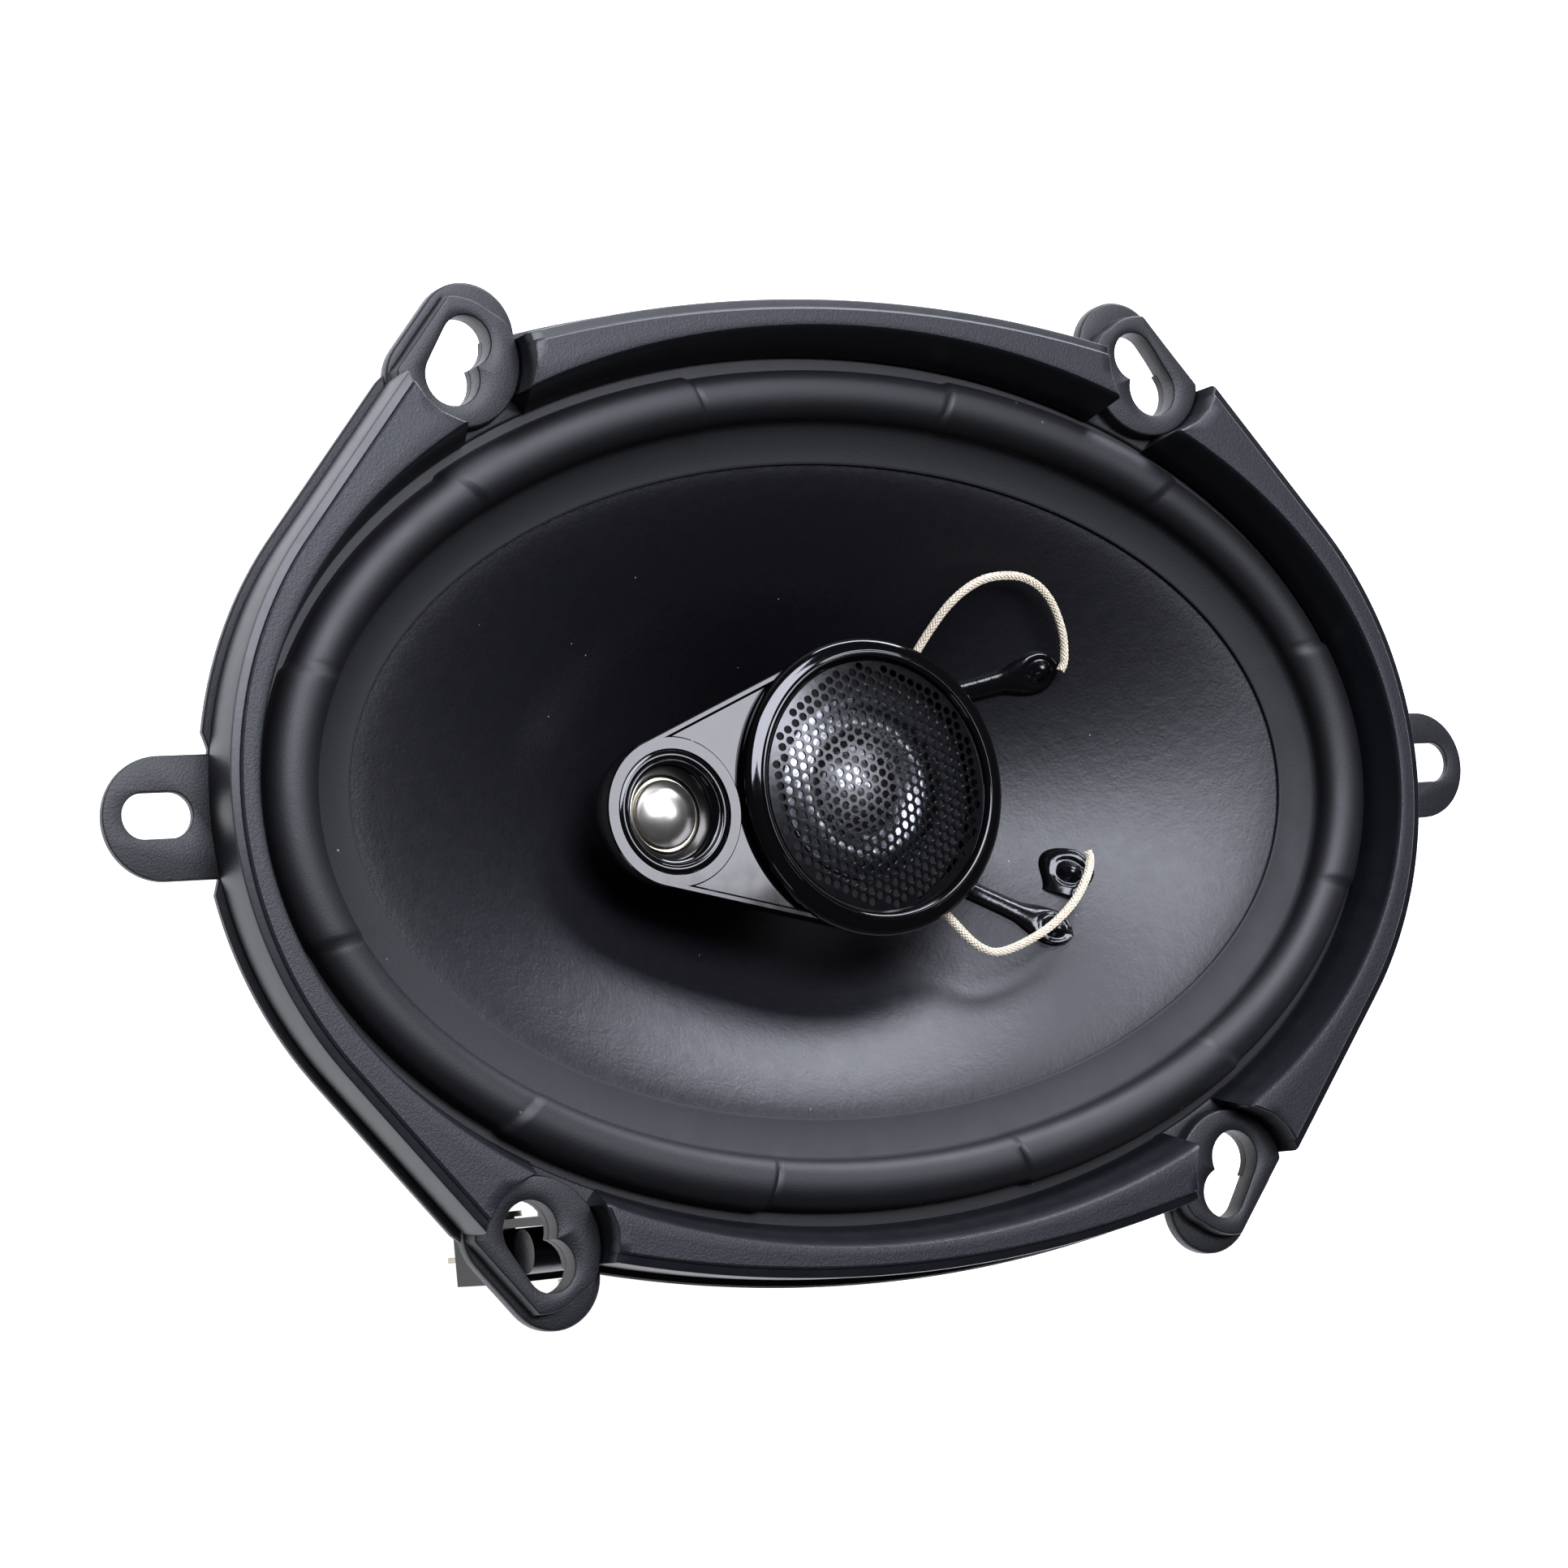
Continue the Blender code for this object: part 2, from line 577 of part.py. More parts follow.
def make_basket():
    """One steel stamping: flange, two end ears, four raised corner ears, tub, arms, spider seat and base."""
    inner = (ROLL_OUT_X - FLANGE_SEAT, ROLL_OUT_Y - FLANGE_SEAT)
    low_z = -TUB_DEPTH
    shell = [
        rim(FLANGE_MARGIN, 0),
        oval(*inner, 0),
        oval(inner[0] - SHEET, inner[1] - SHEET, low_z),
        oval(SHELF[1], SHELF[1], SHELF_Z),
        oval(SHELF[0], SHELF[0], SHELF_Z),
        oval(BASE_RADIUS, BASE_RADIUS, BASE_TOP_Z),
        oval(BASE_HOLE, BASE_HOLE, BASE_TOP_Z),
        oval(BASE_HOLE, BASE_HOLE, BASE_TOP_Z - SHEET),
        oval(BASE_RADIUS + SHEET, BASE_RADIUS + SHEET, BASE_TOP_Z - SHEET),
        oval(SHELF[0] + SHEET, SHELF[0] + SHEET, SHELF_Z - SHEET),
        oval(SHELF[1] + SHEET, SHELF[1] + SHEET, SHELF_Z - SHEET),
        oval(inner[0], inner[1], low_z),
        oval(inner[0] + SHEET, inner[1] + SHEET, -SHEET),
        rim(FLANGE_MARGIN, -SHEET),
    ]
    basket = loft("basket", shell, STEEL_PAINT, axis)
    for side in (1, -1):
        ear = plate(f"end_ear_{side}", [end_ear(side)], -SHEET + SKIN, -SKIN, parent=axis, home=cutters)
        boolean(basket, ear, "UNION")
    for n, sides in enumerate(CORNERS):
        lobes = [corner(belt(*EAR_LOBES), *sides)]
        lug = plate(f"lug_{n}", lobes, -SHEET + 2 * SKIN, -2 * SKIN, parent=axis, home=cutters)
        boolean(basket, lug, "UNION")
        outline = [corner(pad_outline(), *sides)]
        pad = plate(f"pad_{n}", outline, -SHEET / 2, EAR_HEIGHT + EAR_LIP, parent=axis, home=cutters)
        boolean(pad, opening_cutter, "DIFFERENCE")
        boolean(basket, pad, "UNION")
    tab_low = (TAB_X[0], TAB_Y - SHEET, -TAB_DEPTH)
    tab = box("terminal_tab", tab_low, (TAB_X[1], TAB_Y, -SHEET / 2), parent=axis, home=cutters)
    boolean(basket, tab, "UNION")
    windows = window_cutter()
    boolean(basket, windows)
    for n, sides in enumerate(CORNERS):
        outline = [corner(keyhole(HOLE_LOBES), *sides)]
        hole = plate(f"keyhole_{n}", outline, -9 * MM, 9 * MM, parent=axis, home=cutters)
        boolean(basket, hole)
    for side in (1, -1):
        slot = plate(f"slot_{side}", [end_slot(side)], -9 * MM, 9 * MM, parent=axis, home=cutters)
        boolean(basket, slot)
    for n in range(4):
        x, y = rivet_place(n)
        hole = rod(
            f"rivet_hole_{n}", (x, y, BASE_TOP_Z - 4 * MM), (x, y, BASE_TOP_Z + 4 * MM), RIVET[0] + GAP,
            parent=axis, home=cutters,
        )
        boolean(basket, hole)
        boolean(top_plate, hole)
    for x in terminal_rivets():
        hole = rod(
            f"tab_hole_{x:.3f}", (x, TAB_Y - 4 * MM, RIVET_Z), (x, TAB_Y + 4 * MM, RIVET_Z),
            TERMINAL_RIVET + GAP, parent=axis, steps=12, home=cutters,
        )
        boolean(basket, hole)


def window_cutter():
    """All the openings between the arms as one cutter: a flat ring with the arms left out."""
    high = -TUB_DEPTH - 1 * MM
    low = SHELF_Z + 1.5 * MM
    inner = SHELF[0]
    reach = RIM_LENGTH / 2
    sections = [
        oval(reach, reach, high), oval(reach, reach, low), oval(inner, inner, low), oval(inner, inner, high),
    ]
    windows = loft("windows", sections, None, axis, home=cutters)
    for angle in ARM_ANGLES:
        arm = box(
            f"arm_{angle}", (0, -ARM_WIDTH / 2, low - 1 * MM), (reach * 1.2, ARM_WIDTH / 2, high + 1 * MM),
            parent=axis, home=cutters,
        )
        arm.data.transform(Matrix.Rotation(radians(angle), 4, "Z"))
        boolean(windows, arm)
    return windows


def make_trim():
    """The moulded rim over the flange, in four lengths between the corner ears."""
    whole = [
        rim(0, GAP, 120),
        rim(0, TRIM_HEIGHT - 0.8 * MM, 120),
        rim(-0.8 * MM, TRIM_HEIGHT, 120),
        oval(INNER_X + 0.5 * MM, INNER_Y + 0.5 * MM, TRIM_HEIGHT, 120),
        oval(INNER_X, INNER_Y, TRIM_HEIGHT - 0.5 * MM, 120),
        oval(INNER_X, INNER_Y, GAP, 120),
    ]
    reach = RIM_LENGTH
    high = TRIM_HEIGHT + 1 * MM
    x0, y0 = EAR_CENTRE
    keep = {
        "trim_segment_right": [(0, 0), (reach, -reach * y0 / x0), (reach, reach * y0 / x0)],
        "trim_segment_upper": [(0, 0), (reach, reach * y0 / x0), (-reach, reach * y0 / x0)],
        "trim_segment_left": [(0, 0), (-reach, reach * y0 / x0), (-reach, -reach * y0 / x0)],
        "trim_segment_lower": [(0, 0), (-reach, -reach * y0 / x0), (reach, -reach * y0 / x0)],
    }
    for name, triangle in keep.items():
        segment = loft(name, whole, TRIM_PLASTIC, axis)
        sector = plate(f"{name}_sector", [triangle], -1 * MM, high, parent=axis, home=cutters)
        boolean(segment, sector, "INTERSECT")
        for pocket in pockets:
            boolean(segment, pocket)


def make_surround():
    """Rubber half roll with a foot on the flange and a band glued on the edge of the cone."""
    mid_x, mid_y = ROLL_OUT_X - ROLL_SPAN / 2, ROLL_OUT_Y - ROLL_SPAN / 2
    foot_z = GAP + SURROUND_T

    def roll(span, rise, base, steps):
        return [
            oval(mid_x + span * cos(a), mid_y + span * cos(a), base + rise * sin(a))
            for a in (pi * i / steps for i in range(steps + 1))
        ]

    outer = roll(ROLL_SPAN / 2, ROLL_HEIGHT, foot_z, 5)
    inner = roll(ROLL_SPAN / 2 - SURROUND_T, ROLL_HEIGHT - SURROUND_T, foot_z, 5)[::-1]
    band_z = CONE_EDGE_Z + GAP + SURROUND_T
    sections = [
        oval(INNER_X - GAP, INNER_Y - GAP, foot_z),
        *outer,
        oval(CONE_X, CONE_Y, band_z),
        oval(CONE_X, CONE_Y, band_z - SURROUND_T),
        oval(ROLL_IN_X, ROLL_IN_Y, foot_z - SURROUND_T - 0.1 * MM),
        *inner,
        oval(ROLL_OUT_X, ROLL_OUT_Y, GAP),
        oval(INNER_X - GAP, INNER_Y - GAP, GAP),
    ]
    loft("surround", sections, RUBBER, cone_axis)


def make_cone():
    """Pulp cone from the round neck to the oval edge, with a flat rim under the surround's band."""
    shares = (1.0, 0.8, 0.6, 0.4, 0.2, 0.0)

    def skin(drop):
        rows = []
        for share in shares:
            half_x = NECK_RADIUS + (CONE_X - NECK_RADIUS) * share
            half_y = NECK_RADIUS + (CONE_Y - NECK_RADIUS) * share
            rows.append(oval(half_x, half_y, cone_height(share) - drop))
        return rows

    edge = 0.3 * MM
    front = [oval(ROLL_IN_X - edge, ROLL_IN_Y - edge, CONE_EDGE_Z + 1.1 * MM - GAP), *skin(0)]
    back = skin(CONE_T)[::-1]
    back.append(oval(ROLL_IN_X - edge, ROLL_IN_Y - edge, CONE_EDGE_Z + 1.1 * MM - GAP - CONE_T))
    loft("cone", front + back, PULP, cone_axis)


def make_coil():
    middle = PLATE_TOP_Z - PLATE_T / 2
    low = middle - WINDING_HEIGHT / 2
    ring("voice_coil_former", COIL_BORE, FORMER_OUT, low - 0.5 * MM, NECK_Z + 1 * MM, KAPTON, cone_axis)
    ring("voice_coil_winding", WINDING_IN, WINDING_OUT, low, low + WINDING_HEIGHT, COPPER, cone_axis)


def make_spider():
    """Corrugated cloth disc between the basket's seat and the former."""
    level = SHELF_Z + GAP + SPIDER_T
    start, end = FORMER_OUT + GAP, SHELF[0] + 0.5 * MM
    pitch = (end - start) / SPIDER_ROLLS / 4
    top = [(start, level)]
    for i in range(SPIDER_ROLLS * 2):
        top.append((start + pitch * (2 * i + 1), level + SPIDER_WAVE * (1 - 2 * (i % 2))))
    top += [(end, level), (SHELF[1] - 0.7 * MM, level)]
    turned("spider", top + [(r, z - SPIDER_T) for r, z in reversed(top)], SPIDER_CLOTH, cone_axis)


def make_motor():
    """Top plate, ferrite magnet and back plate with its pole, and the screw that holds the tweeter post."""
    gap_radius = WINDING_OUT + COIL_CLEARANCE
    pole = COIL_BORE - COIL_CLEARANCE
    bore = SCREW_RADIUS + GAP
    ring("magnet", MAGNET_BORE, MAGNET_RADIUS, YOKE_TOP_Z + GAP, MAGNET_TOP_Z, FERRITE, axis)
    head_seat = BACK_Z + SCREW_HEAD[1] + GAP
    profile = [
        (bore, PLATE_TOP_Z), (pole - 0.6 * MM, PLATE_TOP_Z), (pole, PLATE_TOP_Z - 0.6 * MM),
        (pole, YOKE_TOP_Z), (PLATE_RADIUS - 0.8 * MM, YOKE_TOP_Z), (PLATE_RADIUS, YOKE_TOP_Z - 0.8 * MM),
        (PLATE_RADIUS, BACK_Z + 0.8 * MM), (PLATE_RADIUS - 0.8 * MM, BACK_Z),
        (SCREW_HEAD[0] + GAP, BACK_Z), (SCREW_HEAD[0] + GAP, head_seat), (bore, head_seat),
    ]
    turned("back_plate", profile, ZINC, axis)
    screw_top = PLATE_TOP_Z + 14 * MM
    profile = [
        (0, screw_top), (SCREW_RADIUS, screw_top), (SCREW_RADIUS, head_seat - GAP),
        (SCREW_HEAD[0], head_seat - GAP), (SCREW_HEAD[0], BACK_Z + 0.6 * MM),
        (SCREW_HEAD[0] - 0.8 * MM, BACK_Z + 0.1 * MM), (0, BACK_Z + 0.1 * MM),
    ]
    turned("post_screw", profile, ZINC, axis, steps=SMALL_STEPS)
    profile = [
        (0, POD_BOTTOM_Z - GAP), (POST_RADIUS, POD_BOTTOM_Z - GAP), (POST_RADIUS, PLATE_TOP_Z + 3 * MM),
        (POST_RADIUS + 3 * MM, PLATE_TOP_Z + 2 * MM), (POST_RADIUS + 3 * MM, PLATE_TOP_Z + GAP),
        (bore, PLATE_TOP_Z + GAP), (bore, screw_top + GAP), (0, screw_top + GAP),
    ]
    post = turned("tweeter_post", profile, GLOSS_ABS, axis)
    hole = rod("post_hole", (0, 0, POD_BOTTOM_Z - 8 * MM), (0, 0, POD_BOTTOM_Z + 1 * MM), 1.5 * MM,
               parent=axis, home=cutters)
    boolean(post, hole)
    plate_profile = [
        (gap_radius, PLATE_TOP_Z), (PLATE_RADIUS, PLATE_TOP_Z),
        (PLATE_RADIUS, PLATE_TOP_Z - PLATE_T), (gap_radius, PLATE_TOP_Z - PLATE_T),
    ]
    return turned("top_plate", plate_profile, ZINC, axis)


def rivet_place(n):
    angle = pi / 4 + n * pi / 2
    return RIVET_CIRCLE * cos(angle), RIVET_CIRCLE * sin(angle)


def make_rivets():
    """Four rivets through the basket's base into the top plate."""
    shank, head, height = RIVET
    for n in range(4):
        low = BASE_TOP_Z - 4 * MM + GAP
        seat = BASE_TOP_Z + GAP
        profile = [
            (0, seat + height), (head * 0.6, seat + height), (head, seat),
            (shank, seat), (shank, low), (0, low),
        ]
        turned(f"basket_rivet_{n + 1}", profile, ZINC, axis, rivet_place(n), 12)


def pod_outline(main, other, z):
    return [(x, y, z) for x, y in belt((main[0], 0, main[1]), (other[0], 0, other[1]), 20)]


def make_pod():
    """Glossy housing for both tweeters: a belt-shaped bowl with a pocket for each, on top of the post."""
    shell = [
        pod_outline((MAIN_X, MAIN_RADIUS), (SUPER_X, SUPER_RADIUS), POD_TOP_Z),
        pod_outline((MAIN_X, MAIN_RADIUS - 0.4 * MM), (SUPER_X, SUPER_RADIUS - 0.4 * MM), POD_TOP_Z - 4 * MM),
        pod_outline(
            (MAIN_X, MAIN_RADIUS - 3.5 * MM), (SUPER_X + 4 * MM, SUPER_RADIUS - 3 * MM), POD_TOP_Z - 7 * MM,
        ),
        pod_outline((MAIN_X - 1 * MM, MAIN_RADIUS - 7 * MM), (-9 * MM, 6 * MM), POD_BOTTOM_Z),
    ]
    housing = loft("pod_housing", shell, GLOSS_ABS, pod_axis, closed=False)
    pocket = GRILLE_RADIUS + GAP
    floor = POD_BOTTOM_Z + POD_WALL
    ledge = POD_TOP_Z - FRAME_DROP - FRAME_T - GAP
    main = turned("main_pocket", [
        (0, 1 * MM), (pocket, 1 * MM), (pocket, ledge), (pocket - 2.5 * MM, ledge),
        (CUP_RADIUS + 2.2 * MM, floor), (0, floor),
    ], at=(MAIN_X, 0), parent=pod_axis, home=cutters)
    other = turned("super_pocket", [
        (0, 1 * MM), (SUPER_RADIUS - POD_WALL - 0.4 * MM, 1 * MM),
        (SUPER_RADIUS - POD_WALL - 0.4 * MM, POD_TOP_Z - 3.6 * MM), (0, POD_TOP_Z - 3.6 * MM),
    ], at=(SUPER_X, 0), parent=pod_axis, home=cutters)
    boolean(housing, main)
    boolean(housing, other)
    low, high = (SUPER_X, -2 * MM, POD_TOP_Z - 3.4 * MM), (MAIN_X, 2 * MM, POD_TOP_Z - 1.4 * MM)
    channel = box("wire_channel", low, high, parent=pod_axis, home=cutters)
    boolean(housing, channel)
    hole = rod("pod_hole", (0, 0, POD_BOTTOM_Z - 1 * MM), (0, 0, POD_TOP_Z - 5 * MM), 1.5 * MM,
               parent=pod_axis, home=cutters)
    boolean(housing, hole)
    top = floor + GAP + POD_SCREW_HEAD
    profile = [
        (0, top), (2.0 * MM, top), (2.6 * MM, floor + GAP), (1.2 * MM, floor + GAP),
        (1.2 * MM, POD_BOTTOM_Z - 7 * MM), (0, POD_BOTTOM_Z - 7 * MM),
    ]
    turned("pod_screw", profile, ZINC, pod_axis, steps=SMALL_STEPS)


def make_main_tweeter():
    """Bezel, grille, film dome with its coil, and the small motor under them."""
    at = (MAIN_X, 0)
    seat = POD_TOP_Z + GAP
    bezel = [
        (BEZEL_RIM - 0.7 * MM, BEZEL_TOP_Z - 0.3 * MM), (BEZEL_RIM - 0.3 * MM, BEZEL_TOP_Z),
        (BEZEL_RIM, BEZEL_TOP_Z), (BEZEL_RADIUS - 0.3 * MM, BEZEL_TOP_Z - 0.9 * MM),
        (BEZEL_RADIUS, BEZEL_TOP_Z - 1.3 * MM), (BEZEL_RADIUS, seat), (GRILLE_RADIUS + GAP, seat),
        (GRILLE_RADIUS + GAP, BEZEL_TOP_Z - 0.9 * MM),
    ]
    turned("tweeter_bezel", bezel, GLOSS_ABS, pod_axis, at)
    edge_z = BEZEL_TOP_Z - 0.7 * MM

    def dome(radius, edge, rise, thickness, count=5):
        top = [(radius * i / count, edge + rise * (1 - (i / count) ** 2)) for i in range(count + 1)]
        return top + [(r, z - thickness) for r, z in reversed(top)]

    grille = dome(GRILLE_RADIUS, edge_z, GRILLE_RISE, GRILLE_T)
    turned("tweeter_grille", grille, GRILLE_STEEL, pod_axis, at)
    plate_z = POD_TOP_Z - FRAME_DROP
    ring("tweeter_frame", CUP_RADIUS + GAP, GRILLE_RADIUS, plate_z - FRAME_T, plate_z, PHENOLIC, pod_axis, at)
    film = 0.2 * MM
    outer = 13.5 * MM
    base = plate_z + GAP + film
    crest = [
        (0, base + 2.4 * MM), (2.4 * MM, base + 2.1 * MM), (4.6 * MM, base + 1.3 * MM), (DOME_RADIUS, base),
        (8.0 * MM, base + 0.8 * MM), (10.0 * MM, base + 1.1 * MM), (11.8 * MM, base + 0.6 * MM),
        (outer, base),
    ]
    turned("tweeter_diaphragm", crest + [(r, z - film) for r, z in reversed(crest)], MYLAR, pod_axis, at)
    coil_top = base - film - 0.1 * MM
    coil_low = coil_top - 1.6 * MM
    ring("tweeter_coil", DOME_RADIUS - 0.2 * MM, DOME_RADIUS + 0.2 * MM, coil_low, coil_top, COPPER, pod_axis, at,
         SMALL_STEPS)
    cup_low = POD_BOTTOM_Z + POD_WALL + GAP + POD_SCREW_HEAD + GAP
    inside = CUP_RADIUS - 1.4 * MM
    cup_top = plate_z - 0.5 * MM
    cup = [
        (0, cup_low + 1.2 * MM), (inside, cup_low + 1.2 * MM), (inside, cup_top - 1.4 * MM),
        (DOME_RADIUS + 0.6 * MM, cup_top - 1.4 * MM), (DOME_RADIUS + 0.6 * MM, cup_top),
        (CUP_RADIUS, cup_top),
        (CUP_RADIUS, cup_low), (0, cup_low),
    ]
    turned("tweeter_motor_cup", cup, ZINC, pod_axis, at)
    pole_top = cup_top - 0.2 * MM
    magnet_low = cup_low + 1.2 * MM + 0.1 * MM
    disc("tweeter_magnet", DOME_RADIUS - 1.0 * MM, magnet_low, pole_top - 1.3 * MM, FERRITE, at)
    disc("tweeter_pole_cap", DOME_RADIUS - 0.6 * MM, pole_top - 1.2 * MM, pole_top, ZINC, at)


def disc(name, radius, low, high, material, at):
    profile = [(0, high), (radius, high), (radius, low), (0, low)]
    return turned(name, profile, material, pod_axis, at, SMALL_STEPS)


def make_super_tweeter():
    """Flared bezel, silvered dome and the piezo element that drives it."""
    at = (SUPER_X, 0)
    seat = POD_TOP_Z + GAP
    floor = POD_TOP_Z - 3.6 * MM
    mouth = SUPER_RING - 1.6 * MM
    throat = SUPER_DOME + 0.5 * MM
    low = floor + 1.1 * MM
    bezel = [
        (mouth, SUPER_TOP_Z - 0.2 * MM), (mouth + 0.4 * MM, SUPER_TOP_Z),
        (SUPER_RING - 0.4 * MM, SUPER_TOP_Z),
        (SUPER_RING, seat), (SUPER_RADIUS - POD_WALL - 0.4 * MM - GAP, seat - GAP),
        (SUPER_RADIUS - POD_WALL - 0.4 * MM - GAP, low), (throat, low), (throat, low + 0.6 * MM),
        (throat + 0.9 * MM, low + 1.4 * MM),
    ]
    turned("super_tweeter_bezel", bezel, GLOSS_ABS, pod_axis, at, 24)
    base = low + 0.1 * MM
    crest = [
        (0, base + 2.0 * MM), (1.8 * MM, base + 1.85 * MM), (3.4 * MM, base + 1.3 * MM),
        (SUPER_DOME - 0.3 * MM, base + 0.4 * MM), (SUPER_DOME, base),
    ]
    inner = [(max(0.0, r - 0.25 * MM), z - 0.3 * MM) for r, z in crest[:-1]]
    profile = crest + [(SUPER_DOME - 0.3 * MM, base)] + inner[::-1]
    turned("super_tweeter_dome", profile, MYLAR, pod_axis, at, 24)
    disc("super_tweeter_piezo", SUPER_DOME + 1.2 * MM, floor + GAP, floor + GAP + 0.5 * MM, TIN, at)


def terminal_rivets():
    """X of the two rivets that hold the terminal block."""
    middle = sum(TAB_X) / 2
    return middle - 5 * MM, middle + 5 * MM


def make_terminals():
    """Moulded block riveted to the bent tab, with a wide and a narrow spade pointing back."""
    middle = sum(TAB_X) / 2
    width, depth, height = BLOCK_SIZE
    face = TAB_Y - SHEET - GAP
    bottom = BLOCK_TOP_Z - height
    low, high = (middle - width / 2, face - depth, bottom), (middle + width / 2, face, BLOCK_TOP_Z)
    block = box("terminal_block", low, high, PHENOLIC, axis)
    bevel = block.modifiers.new("edges", "BEVEL")
    bevel.width = 0.8 * MM
    bevel.segments = 2
    for n, (offset, blade) in enumerate(((-4.0 * MM, WIDE_SPADE), (4.0 * MM, NARROW_SPADE))):
        x = middle + offset
        y = face - depth / 2
        top = bottom + 4 * MM
        slot = box(
            f"spade_slot_{n}", (x - blade / 2 - GAP, y - SPADE_T / 2 - GAP, bottom - 1 * MM),
            (x + blade / 2 + GAP, y + SPADE_T / 2 + GAP, top + GAP), parent=axis, home=cutters,
        )
        boolean(block, slot)
        name = "wide_terminal" if n == 0 else "narrow_terminal"
        low = (x - blade / 2, y - SPADE_T / 2, bottom - SPADE_LENGTH)
        box(name, low, (x + blade / 2, y + SPADE_T / 2, top), TIN, axis)
    for n, x in enumerate(terminal_rivets()):
        hole = rod(f"block_hole_{n}", (x, face - depth - 1 * MM, RIVET_Z), (x, face + 1 * MM, RIVET_Z),
                   TERMINAL_RIVET + GAP, parent=axis, steps=12, home=cutters)
        boolean(block, hole)
        inner_end, outer_end = TAB_Y + GAP, face - depth - GAP
        ends = [(x, outer_end - 0.7 * MM, RIVET_Z), (x, inner_end + 0.7 * MM, RIVET_Z)]
        rivet = rod(f"terminal_rivet_{n + 1}", *ends, TERMINAL_RIVET, TIN, axis, 12)
        for end, out in ((outer_end, -1), (inner_end, 1)):
            head = rod(f"rivet_head_{n}_{out}", (x, end, RIVET_Z), (x, end + out * 0.8 * MM, RIVET_Z),
                       TERMINAL_RIVET * 1.8, parent=axis, steps=12, home=cutters)
            boolean(rivet, head, "UNION")
    radius, length = CAPACITOR
    y, z = face - radius, BLOCK_TOP_Z + radius + 1 * MM
    ends = [(middle - length / 2, y, z), (middle + length / 2, y, z)]
    can = rod("crossover_capacitor", *ends, radius, SLEEVE, axis)
    bevel = can.modifiers.new("edges", "BEVEL")
    bevel.width = 0.5 * MM
    bevel.segments = 1


high = TRIM_HEIGHT + 2 * MM
pockets = []
for number, signs in enumerate(CORNERS):
    circle = [corner(arc((0, 0), EAR_PAD + EAR_POCKET_CLEARANCE, 0, 2 * pi * 23 / 24, 23), *signs)]
    pockets.append(plate(f"pocket_{number}", circle, -2 * MM, high, None, axis, cutters))
opening = [oval(INNER_X, INNER_Y, steps=120)]
opening_cutter = plate("opening", opening, -3 * MM, high, parent=axis, home=cutters)

top_plate = make_motor()
make_basket()
make_trim()
make_surround()
make_cone()
make_coil()
make_spider()
make_rivets()
make_pod()
make_main_tweeter()
make_super_tweeter()
make_terminals()
joint_blob("upper_lead_joint", UPPER_JOINT, cone_axis)
joint_blob("lower_lead_joint", LOWER_JOINT, cone_axis)
joint_blob("end_lead_joint", END_JOINT, cone_axis)
for number, rear in enumerate(REAR_JOINTS):
    joint_blob(f"rear_lead_joint_{number + 1}", rear, cone_axis, -1)
lead("upper_tinsel_lead", UPPER_LEAD, cone_axis)
lead("lower_tinsel_lead", LOWER_LEAD, cone_axis)
for number, route in enumerate(REAR_LEADS):
    lead(f"rear_tinsel_lead_{number + 1}", route, cone_axis)
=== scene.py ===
"""Looks of a three-way oval coaxial car speaker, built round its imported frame.

Sizes are in millimetres, and heights are from the flange's top face.
"""

from math import asin, atan2, cos, exp, hypot, pi, radians, sin, sqrt

import bmesh
import bpy
from mathutils import Matrix, Vector


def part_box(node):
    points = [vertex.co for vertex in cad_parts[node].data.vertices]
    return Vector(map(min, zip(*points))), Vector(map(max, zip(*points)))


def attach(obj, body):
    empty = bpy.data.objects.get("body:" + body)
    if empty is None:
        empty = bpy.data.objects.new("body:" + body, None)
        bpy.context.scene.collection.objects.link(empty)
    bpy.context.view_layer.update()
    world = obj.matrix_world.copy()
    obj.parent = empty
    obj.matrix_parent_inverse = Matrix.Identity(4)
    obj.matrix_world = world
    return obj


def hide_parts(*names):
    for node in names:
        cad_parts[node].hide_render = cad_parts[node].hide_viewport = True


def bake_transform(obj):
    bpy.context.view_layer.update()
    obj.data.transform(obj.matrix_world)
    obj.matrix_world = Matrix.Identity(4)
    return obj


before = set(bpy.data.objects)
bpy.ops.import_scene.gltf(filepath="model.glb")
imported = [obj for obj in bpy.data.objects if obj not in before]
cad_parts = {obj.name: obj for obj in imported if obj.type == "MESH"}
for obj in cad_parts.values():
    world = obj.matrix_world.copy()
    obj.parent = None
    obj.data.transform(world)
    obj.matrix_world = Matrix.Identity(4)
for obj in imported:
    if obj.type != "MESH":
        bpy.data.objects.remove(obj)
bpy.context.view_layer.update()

MM = 0.001
TRIM_HEIGHT = 8.0
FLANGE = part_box("trim_segment_upper")[1].z / MM - TRIM_HEIGHT  # the flange's top face over the back plate

# Plan of the mounting frame
RIM_LENGTH, RIM_WIDTH, SIDE_RISE, RIM_FACE = 198.0, 140.0, 4.0, 4.1
INNER = (RIM_LENGTH / 2 - RIM_FACE, RIM_WIDTH / 2 - RIM_FACE)
END_RADIUS = RIM_WIDTH / 2 - SIDE_RISE
END_ROUND = END_RADIUS - 9.0
